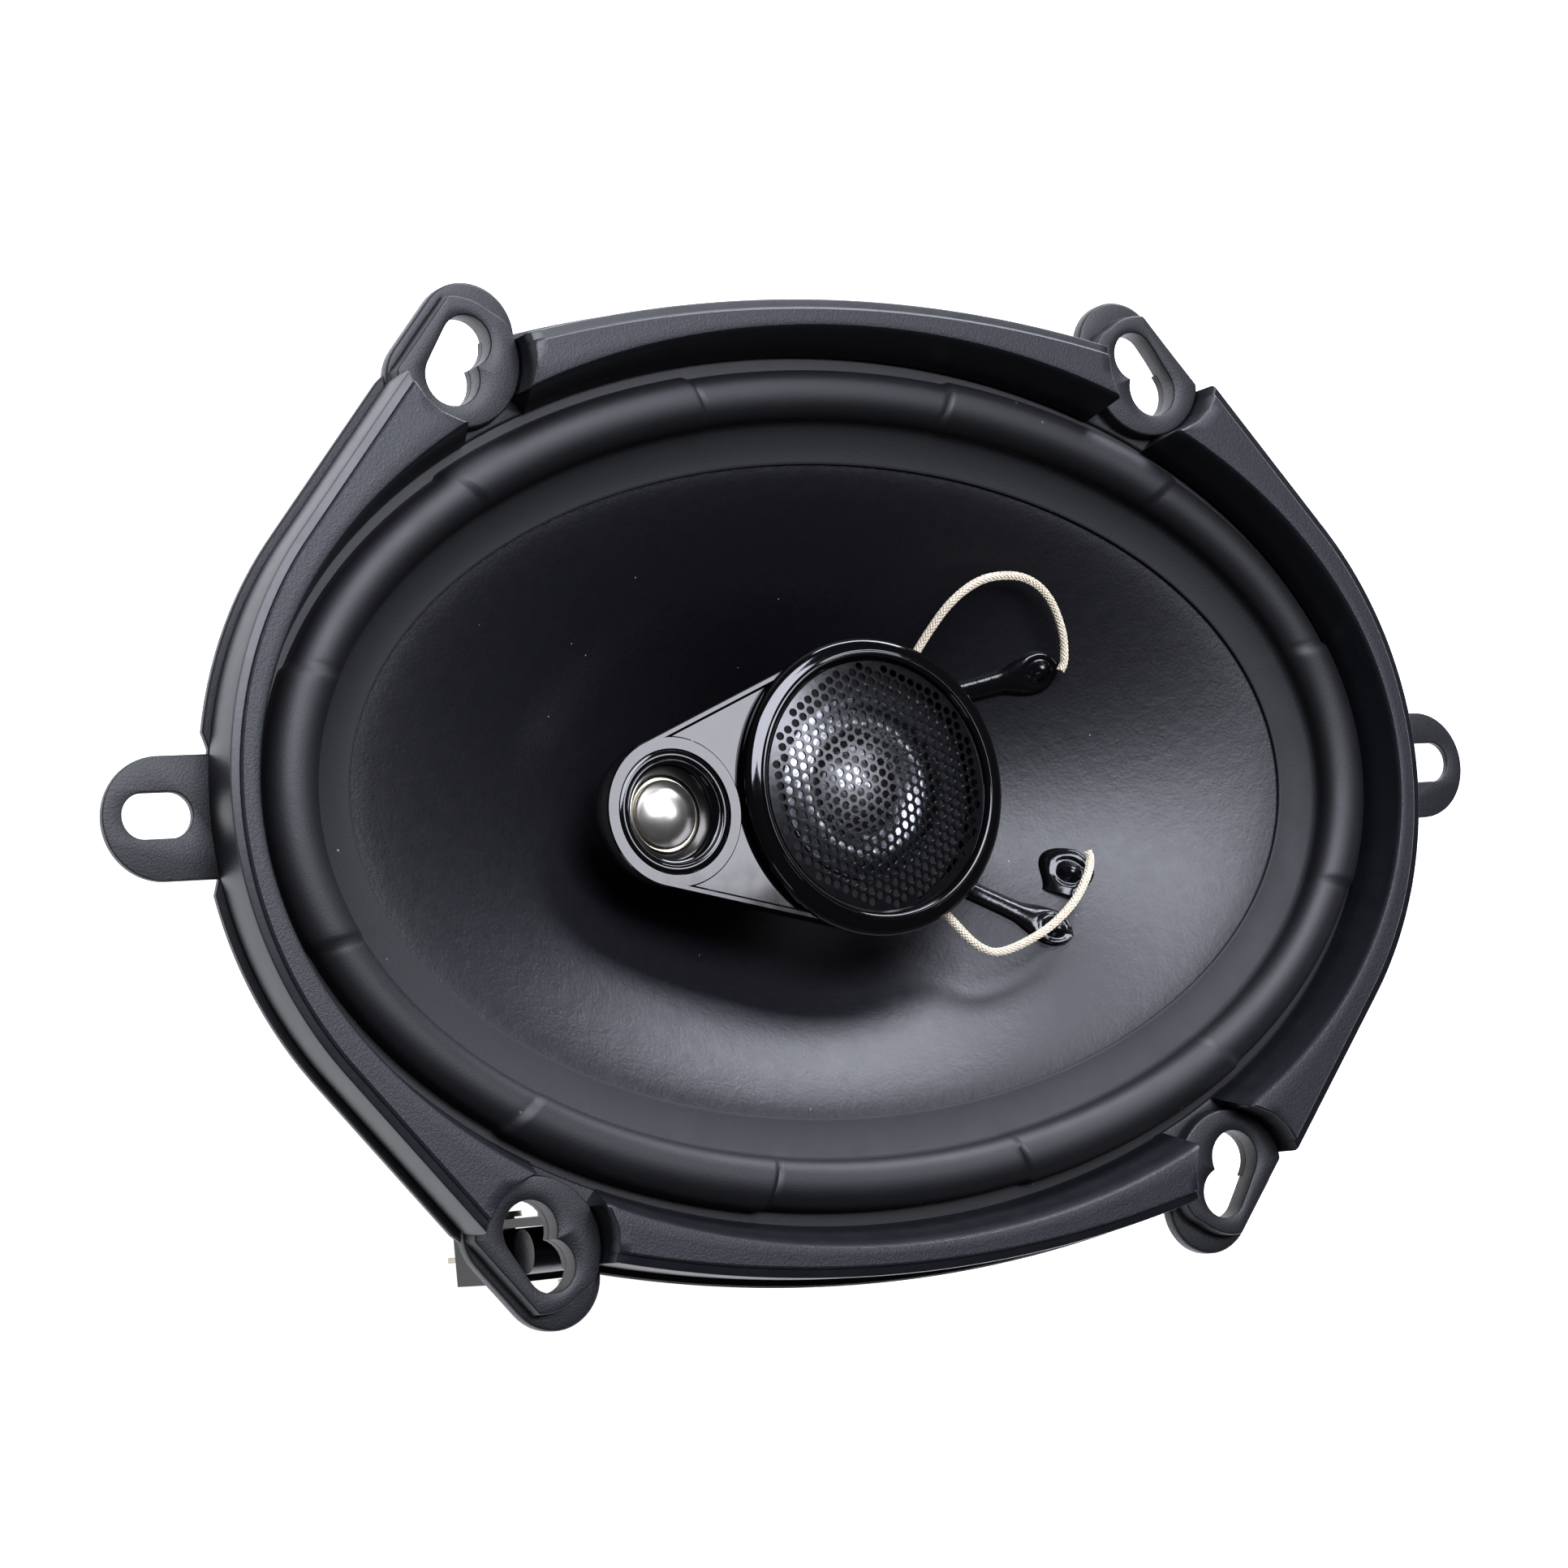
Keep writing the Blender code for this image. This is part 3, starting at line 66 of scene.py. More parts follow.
# Way out of the straight side between an end and a corner ear
SLANT = (cos(radians(39.4)), sin(radians(39.4)))
FLANGE_MARGIN = 1.1
NOTCH_HALF = 10.2  # half the stretch at each end ear where the flange has no margin
EAR_ANGLE = radians(67.5)
EAR_CENTRE = (RIM_LENGTH / 2 - END_RADIUS + END_RADIUS * cos(EAR_ANGLE), END_RADIUS * sin(EAR_ANGLE))
EAR_PAD, POCKET = 9.0, 0.8
EAR_SLANT = 6.2  # from an ear's middle to the straight side of its pad
EAR_LOBES = ((-3.0, 4.2, 7.3), (2.7, -2.7, 7.3))
HOLE_LOBES = ((-1.7, 2.6, 3.7), (0.9, -2.4, 4.1))
CORNERS = ((1, 1), (-1, 1), (-1, -1), (1, -1))
END_EAR_WIDTH, END_EAR_TIP, END_EAR_SHIFT = 16.6, 114.0, -0.4
SLOT = (101.35, 111.25, 6.1)
SHEET = 1.2
WALL_LEAN = (2.1, 3.1)  # how far the trim's inner wall leans in on its way down, at the ends and at the sides

# Basket
TUB_DEPTH, SHELF_Z, SHELF, BASE_RADIUS, BASE_HOLE, BASE_TOP = 10.0, -32.5, (41.0, 47.0), 39.0, 16.0, -39.1
ARMS, ARM_WIDTH = (0, 62, 118, 180, 242, 298), 15.0
TAB_X, TAB_Y, TAB_DEPTH = (-51.0, -35.0), -57.0, 31.0

# Moving parts
ROLL_OUT, ROLL_IN = (91.6, 60.8), (84.2, 53.4)
ROLL_HEIGHT, RUBBER_T = 3.6, 0.7
CONE_EDGE, CONE_EDGE_Z, CONE_T = (78.2, 47.4), -1.5, 0.8
NECK_RADIUS, NECK_Z, CONE_CURVE = 13.2, -29.5, 1.3
SURROUND_NOTCHES = (12.3, 35.9, 69.4)  # polar angles of the steps in the roll, in degrees, mirrored to 12

# Tweeter pod
POD_TURN = radians(4.2)
MAIN_X, SUPER_X, MAIN_RADIUS, SUPER_RADIUS = 8.0, -25.6, 21.4, 10.9
POD_BOTTOM, WEB_Z, POD_RIM_Z = -18.5, -7.2, -6.3
GRILLE_RADIUS, GRILLE_EDGE_Z, GRILLE_RISE = 18.4, -5.1, 1.8
HOLE_PITCH, HOLE_RADIUS = 1.6, 0.62

# Leads, one list of points each, and the glue joints they end in
UPPER_LEAD = (
    (19.1, 18.9, -10.0), (20.4, 21.6, -9.2), (23.9, 27.2, -5.5), (28.6, 30.4, -3.9), (33.9, 31.1, -3.4),
    (38.0, 30.0, -3.4), (41.0, 27.2, -3.7), (43.4, 22.6, -4.9), (44.0, 18.6, -6.0), (43.4, 17.0, -6.4),
)
LOWER_LEAD = (
    (19.6, -17.5, -9.6), (21.0, -19.6, -9.0), (23.9, -23.8, -7.0), (27.4, -24.9, -5.8), (34.3, -22.4, -4.8),
    (39.9, -18.7, -4.9), (43.6, -14.7, -5.6), (45.6, -12.0, -7.0), (45.7, -10.6, -7.5),
)
REAR_LEADS = (
    (
        (-47.0, -57.9, -33.0), (-46.6, -54.6, -32.6), (-44.0, -48.6, -29.4), (-38.5, -42.0, -26.4),
        (-30.0, -34.0, -25.2), (-22.5, -26.6, -25.2), (-18.2, -22.0, -24.4), (-16.6, -20.0, -23.6),
    ),
    (
        (-39.0, -57.9, -33.0), (-38.8, -54.6, -32.6), (-37.6, -48.6, -29.4), (-34.2, -42.0, -26.4),
        (-26.0, -34.6, -25.2), (-17.2, -29.0, -25.2), (-12.6, -24.6, -24.4), (-11.2, -22.6, -23.6),
    ),
)
UPPER_JOINT = ((25.5, 13.9), (44.8, 18.0), 3.2, 2.7)
LOWER_JOINT = ((23.0, -9.6), (41.6, -23.2), 3.0, 2.7)
END_JOINT = ((42.4, -16.6), (45.6, -9.9), 3.9, 2.5)
REAR_JOINTS = (((-14.6, -17.8), (-18.2, -21.6), 2.4, 2.0), ((-9.6, -20.4), (-12.4, -24.4), 2.4, 2.0))

# How finely round things are cut
OVAL_STEPS, TURN_STEPS = 288, 96


# ---- Camera, floor and light ----

def set_camera():
    """A long lens above the -X end, looking down across the cone."""
    data = bpy.data.cameras.new("camera")
    data.lens = 92.23
    data.sensor_width = 36
    camera = bpy.data.objects.new("camera", data)
    right = Vector((0.85855, -0.09701, 0.50349))
    up = Vector((0.03550, 0.99083, 0.13038))
    camera.matrix_world = Matrix((right, up, right.cross(up))).transposed().to_4x4()
    camera.location = Vector((-304.3, -53.2, 489.8 + FLANGE)) * MM
    bpy.context.scene.collection.objects.link(camera)
    bpy.context.scene.camera = camera


def softbox(name, toward, distance, size, radiance, colour="FFFFFF"):
    """A rectangular lamp in one direction from the cone, facing it. radiance is what a mirror would show."""
    data = bpy.data.lights.new(name, "AREA")
    data.shape = "RECTANGLE"
    data.size, data.size_y = size
    data.energy = radiance * pi * size[0] * size[1]
    data.color = linear(colour)[:3]
    lamp = bpy.data.objects.new(name, data)
    direction = Vector(toward).normalized()
    lamp.location = direction * distance + Vector((0, 0, FLANGE * MM))
    lamp.rotation_euler = direction.to_track_quat("Z", "Y").to_euler()
    bpy.context.scene.collection.objects.link(lamp)


def set_studio():
    """A pale floor and four lamps: high and low behind the far side, over the +X end, and a weak near one."""
    softbox("high_softbox", (-0.04, 0.43, 0.90), 1.2, (0.86, 0.68), 14.0, "EDF0FF")
    softbox("strip_softbox", (0.44, 0.13, 0.89), 1.2, (0.21, 0.24), 10.0, "F4F5FF")
    softbox("low_softbox", (0.46, 0.84, 0.26), 1.2, (0.75, 0.42), 17.0, "EDF0FF")
    softbox("near_side_panel", (-0.55, -0.70, 0.45), 1.3, (0.40, 0.30), 1.0, "EDF0FF")
    world = bpy.data.worlds.new("studio")
    world.use_nodes = True
    world.node_tree.nodes["Background"].inputs["Color"].default_value = linear("C8CCD6")
    world.node_tree.nodes["Background"].inputs["Strength"].default_value = 0.06
    bpy.context.scene.world = world
    bpy.context.scene.view_settings.view_transform = "Standard"
    mesh = bpy.data.meshes.new("floor")
    half = 2.5
    corners = [(-half, -half, 0), (half, -half, 0), (half, half, 0), (-half, half, 0)]
    mesh.from_pydata(corners, [], [(0, 1, 2, 3)])
    floor = bpy.data.objects.new("floor", mesh)
    floor.location.z = -0.0005
    bpy.context.scene.collection.objects.link(floor)
    mesh.materials.append(floor_paper())


# ---- Finishes ----

def linear(colour):
    """An sRGB hex colour as linear red, green, blue and 1."""
    channels = [int(colour[i : i + 2], 16) / 255 for i in (0, 2, 4)]
    return (*[c / 12.92 if c <= 0.04045 else ((c + 0.055) / 1.055) ** 2.4 for c in channels], 1.0)


def add(material, kind, inputs=(), **settings):
    """Adds a node, with its settings, and each input either linked to a socket or set to a value."""
    made = material.node_tree.nodes.new(kind)
    for name, value in settings.items():
        setattr(made, name, value)
    for socket, value in dict(inputs).items():
        if isinstance(value, bpy.types.NodeSocket):
            material.node_tree.links.new(value, made.inputs[socket])
        else:
            made.inputs[socket].default_value = value
    return made


def start(name, colour, roughness, metallic=0.0, ior=1.5):
    """A new material, its shader, and the place on the object that its patterns use."""
    material = bpy.data.materials.new(name)
    material.use_nodes = True
    shader = material.node_tree.nodes["Principled BSDF"]
    shader.inputs["Base Color"].default_value = linear(colour)
    shader.inputs["Roughness"].default_value = roughness
    shader.inputs["Metallic"].default_value = metallic
    shader.inputs["IOR"].default_value = ior
    place = add(material, "ShaderNodeTexCoord").outputs["Object"]
    return material, shader, place


def join(material, output, socket):
    material.node_tree.links.new(output, socket)


def vary_colour(material, shader, share, first, second):
    """Colour that goes from one to the other with the share."""
    mixed = add(material, "ShaderNodeMix", {0: share, 6: linear(first), 7: linear(second)}, data_type="RGBA")
    join(material, mixed.outputs[2], shader.inputs["Base Color"])


def vary_roughness(material, shader, share, low, high):
    spread = add(material, "ShaderNodeMapRange", {"Value": share, "To Min": low, "To Max": high})
    join(material, spread.outputs["Result"], shader.inputs["Roughness"])


def raise_grain(material, shader, height, depth, under=None):
    """Relief of a depth in millimetres. under is a coarser relief that it lies on."""
    inputs = {"Height": height, "Distance": depth * MM, "Strength": 1.0}
    if under:
        inputs["Normal"] = under
    bump = add(material, "ShaderNodeBump", inputs)
    join(material, bump.outputs["Normal"], shader.inputs["Normal"])
    return bump.outputs["Normal"]


def grains(material, place, size, detail=3.0, roughness=0.6):
    """Clouded noise whose grains have a size in millimetres."""
    inputs = {"Vector": place, "Scale": 1 / (size * MM), "Detail": detail, "Roughness": roughness}
    return add(material, "ShaderNodeTexNoise", inputs).outputs["Fac"]


def specks(material, place, spacing, share):
    """1 on small specks of dust or fibre, 0 elsewhere. share is how much of each cell a speck may fill."""
    cells = add(material, "ShaderNodeTexVoronoi", {"Vector": place, "Scale": 1 / (spacing * MM)})
    inside = add(material, "ShaderNodeMath", {0: cells.outputs["Distance"], 1: share}, operation="LESS_THAN")
    chosen = add(material, "ShaderNodeSeparateColor", {"Color": cells.outputs["Color"]})
    few = add(material, "ShaderNodeMath", {0: chosen.outputs["Red"], 1: 0.75}, operation="GREATER_THAN")
    both = add(material, "ShaderNodeMath", {0: inside.outputs[0], 1: few.outputs[0]}, operation="MULTIPLY")
    return both.outputs[0]


def floor_paper():
    """Matt white backdrop paper, faintly lit through, so that it stays pale round the dark object."""
    material, shader, place = start("backdrop_paper", "F4F4F4", 0.9)
    shader.inputs["Emission Color"].default_value = linear("FFFFFF")
    shader.inputs["Emission Strength"].default_value = 1.0
    raise_grain(material, shader, grains(material, place, 0.8), 0.02)
    return material


def grained_polypropylene():
    """Moulded polypropylene, spark-eroded grain of about 0.3 mm: a dull blue-black skin full of fine points."""
    material, shader, place = start("grained_polypropylene", "101218", 0.42)
    grain = grains(material, place, 0.34, 2.0)
    wear = grains(material, place, 9.0)
    vary_colour(material, shader, grain, "0C0D12", "181A22")
    vary_roughness(material, shader, wear, 0.38, 0.48)
    raise_grain(material, shader, grain, 0.045)
    return material


def smooth_polypropylene():
    """The same plastic against polished steel: plain, slightly waxy, with the faint ripple of flow lines."""
    material, shader, place = start("smooth_polypropylene", "0A0B0E", 0.34)
    flow = grains(material, place, 3.0)
    vary_colour(material, shader, flow, "08090C", "101116")
    vary_roughness(material, shader, flow, 0.34, 0.44)
    raise_grain(material, shader, grains(material, place, 0.6), 0.015)
    return material


def electrocoated_steel():
    """Pressed steel with black electrocoat: satin, a fine sandy tooth of 0.3 mm, browner where it is thin."""
    material, shader, place = start("electrocoated_steel", "0D0E12", 0.40)
    tooth = grains(material, place, 0.3, 2.0)
    patches = grains(material, place, 14.0)
    vary_colour(material, shader, patches, "0B0C10", "131316")
    vary_roughness(material, shader, tooth, 0.44, 0.56)
    raise_grain(material, shader, tooth, 0.05)
    return material


def butyl_rubber():
    """Moulded butyl rubber: satin black with a soft broad highlight, a bloom in patches and a little dust."""
    material, shader, place = start("butyl_rubber", "09090B", 0.42)
    bloom = grains(material, place, 6.0)
    dust = specks(material, place, 4.2, 0.045)
    vary_colour(material, shader, dust, "09090C", "55575E")
    vary_roughness(material, shader, bloom, 0.48, 0.58)
    raise_grain(material, shader, grains(material, place, 0.35), 0.02)
    return material


def band_rubber():
    """The flat band of the surround, glued on the cone: duller and a touch lighter than the roll."""
    material, shader, place = start("band_rubber", "0C0D10", 0.56)
    bloom = grains(material, place, 5.0)
    dust = specks(material, place, 5.0, 0.04)
    vary_colour(material, shader, dust, "0C0D10", "6A6C72")
    vary_roughness(material, shader, bloom, 0.62, 0.72)
    raise_grain(material, shader, grains(material, place, 0.4), 0.03)
    return material


def pressed_paper_pulp():
    """Pressed paper pulp, dyed black and lacquered: short fibres about 0.5 mm across with stray pale ones."""
    material, shader, place = start("pressed_paper_pulp", "0B0B0E", 0.42)
    fibres = grains(material, place, 0.55, 4.0, 0.7)
    felt = grains(material, place, 2.4, 2.0)
    stray = specks(material, place, 3.4, 0.028)
    dyed = {0: fibres, 6: linear("08080B"), 7: linear("121217")}
    tone = add(material, "ShaderNodeMix", dyed, data_type="RGBA")
    flecks = {0: stray, 6: tone.outputs[2], 7: linear("A9A9AC")}
    flecked = add(material, "ShaderNodeMix", flecks, data_type="RGBA")
    join(material, flecked.outputs[2], shader.inputs["Base Color"])
    vary_roughness(material, shader, felt, 0.36, 0.44)
    matting = raise_grain(material, shader, felt, 0.05)
    raise_grain(material, shader, fibres, 0.045, matting)
    return material


def polished_abs():
    """Black ABS from a polished mould: near mirror gloss, with faint waves of shrinkage and fine rubs."""
    material, shader, place = start("polished_abs", "050506", 0.06, ior=1.54)
    rubs = grains(material, place, 2.2, 5.0, 0.7)
    vary_roughness(material, shader, rubs, 0.03, 0.12)
    raise_grain(material, shader, grains(material, place, 7.0, 1.0), 0.02)
    return material


def lead_glue():
    """Black solvent glue laid wet over the lead joints: shiny, with small sags."""
    material, shader, place = start("lead_glue", "08080A", 0.14)
    sags = grains(material, place, 1.6, 2.0)
    vary_roughness(material, shader, sags, 0.12, 0.22)
    raise_grain(material, shader, sags, 0.06)
    return material


def tinsel_braid():
    """Cotton and copper foil braid, undyed: matt cream threads, a little soiled in patches."""
    material, shader, place = start("tinsel_braid", "DDD2B8", 0.7)
    fluff = grains(material, place, 0.25, 3.0)
    soil = grains(material, place, 5.0)
    vary_colour(material, shader, soil, "F6EEDC", "DCD0B6")
    raise_grain(material, shader, fluff, 0.03)
    shader.inputs["Sheen Weight"].default_value = 0.2
    return material


def painted_perforated_steel():
    """Perforated steel with thin black paint: semi-gloss, so strands flash white where they face the light."""
    material, shader, place = start("painted_perforated_steel", "08080A", 0.2, ior=1.6)
    skin = grains(material, place, 0.8, 3.0)
    vary_colour(material, shader, skin, "060608", "0C0C0F")
    vary_roughness(material, shader, skin, 0.14, 0.26)
    raise_grain(material, shader, skin, 0.012)
    return material


def silvered_film():
    """Vacuum-metallised film: a soft mirror with small puckers from forming."""
    material, shader, place = start("silvered_film", "96989C", 0.24, 1.0)
    puckers = grains(material, place, 2.0, 2.0)
    vary_roughness(material, shader, puckers, 0.18, 0.32)
    raise_grain(material, shader, puckers, 0.05)
    return material


def chromed_dome_film():
    """Bright metallised dome: pale warm mirror with a faint haze."""
    material, shader, place = start("chromed_dome_film", "F0EBE0", 0.30, 1.0)
    haze = grains(material, place, 3.0, 3.0)
    vary_roughness(material, shader, haze, 0.24, 0.36)
    raise_grain(material, shader, haze, 0.02)
    return material


def zinc_plate():
    """Zinc-plated steel: cool grey, satin, clouded by the bath with crystal grains of about 1.5 mm."""
    material, shader, place = start("zinc_plate", "A4A8AE", 0.34, 1.0)
    bath = grains(material, place, 1.5, 4.0)
    vary_colour(material, shader, bath, "8F939A", "B4B8BD")
    vary_roughness(material, shader, bath, 0.26, 0.44)
    raise_grain(material, shader, grains(material, place, 0.3), 0.01)
    return material


def sintered_ferrite():
    """Sintered ferrite: dark grey stone-like ring, matt, with pits of about 0.5 mm from pressing."""
    material, shader, place = start("sintered_ferrite", "2B2B2D", 0.66)
    pits = grains(material, place, 0.5, 4.0)
    vary_colour(material, shader, pits, "222224", "38383A")
    vary_roughness(material, shader, pits, 0.58, 0.76)
    raise_grain(material, shader, pits, 0.06)
    return material


def enamelled_copper():
    """Enamelled copper wire wound tight: amber red metal in rows 0.2 mm high."""
    material, shader, place = start("enamelled_copper", "A4592B", 0.3, 1.0)
    turns = add(
        material, "ShaderNodeTexWave", {"Vector": place, "Scale": 1 / (0.2 * MM) / 20, "Distortion": 0.0},
        wave_type="BANDS", bands_direction="Z",
    )
    vary_colour(material, shader, turns.outputs["Fac"], "7A3D1C", "B8683A")
    raise_grain(material, shader, turns.outputs["Fac"], 0.05)
    return material


def polyimide_film():
    """Amber polyimide film rolled into a tube: clear brown gloss with slight crinkle."""
    material, shader, place = start("polyimide_film", "9A5B22", 0.3)
    crinkle = grains(material, place, 3.0)
    vary_colour(material, shader, crinkle, "8A4F1C", "A9682B")
    raise_grain(material, shader, crinkle, 0.03)
    return material


def resin_dipped_cotton():
    """Open cotton weave dipped in phenolic resin, threads 0.5 mm apart: tan, stiff and dull."""
    material, shader, place = start("resin_dipped_cotton", "A98F55", 0.75)
    split = add(material, "ShaderNodeSeparateXYZ", {"Vector": place})
    waves = []
    for direction in ("X", "Y"):
        scaled = add(material, "ShaderNodeMath", {0: split.outputs[direction], 1: 2 * pi / (0.5 * MM)},
                     operation="MULTIPLY")
        waves.append(add(material, "ShaderNodeMath", {0: scaled.outputs[0]}, operation="SINE").outputs[0])
    weave = add(material, "ShaderNodeMath", {0: waves[0], 1: waves[1]}, operation="MAXIMUM").outputs[0]
    vary_colour(material, shader, weave, "7E6836", "BDA468")
    raise_grain(material, shader, weave, 0.08)
    return material


def tinned_brass():
    """Tin-plated brass strip: pale warm silver, drawn smooth, dulled in patches by handling."""
    material, shader, place = start("tinned_brass", "C9C2AE", 0.3, 1.0)
    dulled = grains(material, place, 2.5, 4.0)
    vary_colour(material, shader, dulled, "B5AB90", "D3CFC2")
    vary_roughness(material, shader, dulled, 0.22, 0.42)
    raise_grain(material, shader, grains(material, place, 0.4), 0.008)
    return material


def glass_filled_nylon():
    """Glass-filled nylon: black, dry-looking, with short fibres showing as faint pale flecks."""
    material, shader, place = start("glass_filled_nylon", "0A0A0C", 0.46)
    flecks = grains(material, place, 0.4, 4.0, 0.7)
    vary_colour(material, shader, flecks, "070708", "131315")
    vary_roughness(material, shader, flecks, 0.44, 0.60)
    raise_grain(material, shader, flecks, 0.03)
    return material


def shrink_sleeve():
    """PVC sleeve shrunk over a capacitor: black, glossy, slightly rippled."""
    material, shader, place = start("shrink_sleeve", "0E0F12", 0.25)
    ripple = grains(material, place, 2.0, 2.0)
    vary_colour(material, shader, ripple, "0B0C0E", "15161A")
    raise_grain(material, shader, ripple, 0.05)
    return material


# ---- Outlines ----

def ellipse_radius(angle, half_x, half_y):
    return half_x * half_y / hypot(half_y * cos(angle), half_x * sin(angle))


def rim_radius(angle, grow=0.0):
    """Distance from the middle to the rim: a round end, a straight slant up to the ear, a flat long side."""
    middle = RIM_LENGTH / 2 - END_RADIUS
    side_centre = (middle**2 - SIDE_RISE**2) / (2 * SIDE_RISE)
    side = side_centre + RIM_WIDTH / 2 + grow
    c, s = abs(cos(angle)), abs(sin(angle))
    long_side = sqrt(side**2 - (side_centre * c) ** 2) - side_centre * s
    centre, end = RIM_LENGTH / 2 - END_ROUND, END_ROUND + grow
    tip_x, tip_y = centre + end * SLANT[0], end * SLANT[1]
    if s * tip_x < c * tip_y:
        return min(long_side, centre * c + sqrt(end**2 - (centre * s) ** 2))
    return min(long_side, (centre * SLANT[0] + end) / (c * SLANT[0] + s * SLANT[1]))


def flange_radius(angle):
    """The flange's edge, which loses its margin beside the end ears."""
    half = rim_radius(angle, FLANGE_MARGIN)
    return rim_radius(angle, 0.05) if abs(half * sin(angle)) < NOTCH_HALF else half


def polar(radius_at, z):
    turns = [2 * pi * i / OVAL_STEPS for i in range(OVAL_STEPS)]
    return [(radius_at(a) * cos(a), radius_at(a) * sin(a), z) for a in turns]


def oval(half_x, half_y, z):
    return polar(lambda angle: ellipse_radius(angle, half_x, half_y), z)


def arc(centre, radius, start_angle, end_angle, steps):
    return [
        (centre[0] + radius * cos(a), centre[1] + radius * sin(a))
        for a in (start_angle + (end_angle - start_angle) * i / steps for i in range(steps + 1))
    ]


def circle(centre, radius, steps):
    return arc(centre, radius, 0, 2 * pi * (steps - 1) / steps, steps - 1)


def belt(first, second, steps=24):
    """The outline of a belt round two circles given as (x, y, radius)."""
    dx, dy = second[0] - first[0], second[1] - first[1]
    along = atan2(dy, dx)
    side = pi / 2 - atan2(first[2] - second[2], sqrt(dx**2 + dy**2 - (first[2] - second[2]) ** 2))
    points = arc(first[:2], first[2], along + side, along + 2 * pi - side, steps)
    return points + arc(second[:2], second[2], along - side, along + side, steps)


def keyhole(lobes, steps=20):
    """Two overlapping circles with a cusp on one side and their tangent on the other."""
    (ax, ay, ar), (bx, by, br) = lobes
    distance = hypot(bx - ax, by - ay)
    along = atan2(by - ay, bx - ax)
    tangent = along + pi / 2 - atan2(ar - br, sqrt(distance**2 - (ar - br) ** 2))
    chord = (distance**2 + ar**2 - br**2) / (2 * distance)
    half = sqrt(ar**2 - chord**2)
    cusp_a = along - atan2(half, chord)
    cusp_b = along - pi + atan2(half, distance - chord)
    points = arc((ax, ay), ar, tangent, cusp_a + 2 * pi, steps)
    return points + arc((bx, by), br, cusp_b + 2 * pi, tangent + 2 * pi, steps)[1:]


def reach(outline, angle):
    """How far an outline lies from its own middle in one direction."""
    c, s = cos(angle), sin(angle)
    found = 0.0
    for (x1, y1), (x2, y2) in zip(outline, outline[1:] + outline[:1]):
        first, second = y1 * c - x1 * s, y2 * c - x2 * s
        if first * second <= 0 and first != second:
            t = first / (first - second)
            found = max(found, (x1 + t * (x2 - x1)) * c + (y1 + t * (y2 - y1)) * s)
    return found


def wall_at(z):
    """Half axes of the trim's inner wall at a height."""
    share = (TRIM_HEIGHT - z) / (TRIM_HEIGHT - 1)
    return INNER[0] - WALL_LEAN[0] * share, INNER[1] - WALL_LEAN[1] * share


def to_wall(angle, z):
    """Distance from the middle of a corner ear to the inner wall, in the ear's own directions."""
    a, b = wall_at(z)
    x, y = EAR_CENTRE
    c, s = cos(angle), sin(angle)
    p, q, r = (c / a) ** 2 + (s / b) ** 2, x * c / a**2 + y * s / b**2, (x / a) ** 2 + (y / b) ** 2 - 1
    root = q * q - p * r
    if root <= 0 or q >= 0:
        return 1e9
    return (-q - sqrt(root)) / p


def to_pod(x, y):
    return x * cos(POD_TURN) - y * sin(POD_TURN), x * sin(POD_TURN) + y * cos(POD_TURN)


# ---- Building pieces ----

def skin(sections, ring=True):
    """Points and faces of a skin through closed sections. Without ring, strips across it close each end."""
    count = len(sections[0])
    points = [point for section in sections for point in section]
    faces = []
    pairs = [(i, i + 1) for i in range(len(sections) - 1)] + ([(len(sections) - 1, 0)] if ring else [])
    for i, j in pairs:
        for k in range(count):
            n = (k + 1) % count
            faces.append((i * count + k, i * count + n, j * count + n, j * count + k))
    if not ring:
        for base in (0, (len(sections) - 1) * count):
            for k in range(count // 2 - 1):
                faces.append((base + k, base + k + 1, base + count - 2 - k, base + count - 1 - k))
    return points, faces


def lathe(profile, centre=(0, 0), steps=TURN_STEPS):
    """Points and faces of a turned shape, whose profile of (radius, height) closes or ends on the axis."""
    points, rings = [], []
    for radius, height in profile:
        first = len(points)
        if radius == 0:
            rings.append([first] * steps)
            points.append((*centre, height))
        else:
            rings.append(list(range(first, first + steps)))
            points += [(x, y, height) for x, y in circle(centre, radius, steps)]
    pairs = list(zip(rings, rings[1:]))
    if profile[0][0] or profile[-1][0]:
        pairs.append((rings[-1], rings[0]))
    faces = []
    for first, second in pairs:
        for i in range(steps):
            j = (i + 1) % steps
            face = tuple(dict.fromkeys((first[i], first[j], second[j], second[i])))
            if len(face) > 2:
                faces.append(face)
    return points, faces


def mesh_of(name, shape):
    """A mesh in metres from points in millimetres, its faces turned outwards."""
    points, faces = shape
    mesh = bpy.data.meshes.new(name)
    mesh.from_pydata([(x * MM, y * MM, (z + FLANGE) * MM) for x, y, z in points], [], faces)
    work = bmesh.new()
    work.from_mesh(mesh)
    bmesh.ops.recalc_face_normals(work, faces=work.faces[:])
    work.to_mesh(mesh)
    work.free()
    return mesh


def blank(name, shape):
    """A bare solid, to cut with or to work on."""
    piece = bpy.data.objects.new(name, mesh_of(name, shape))
    bpy.context.scene.collection.objects.link(piece)
    return piece


def settle(piece, finishes, body, nodes=(), sharp=38):
    """Gives a piece its finish and its body, and hides the frame's nodes that it stands for."""
    piece.data.materials.clear()
    for finish in finishes:
        piece.data.materials.append(finish)
    piece.data.shade_smooth()
    piece.data.set_sharp_from_angle(angle=radians(sharp))
    if body:
        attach(piece, body)
    if nodes:
        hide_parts(*nodes)
    return piece


def make(name, shape, finish, body, nodes=(), sharp=38):
    return settle(blank(name, shape), [finish], body, nodes, sharp)


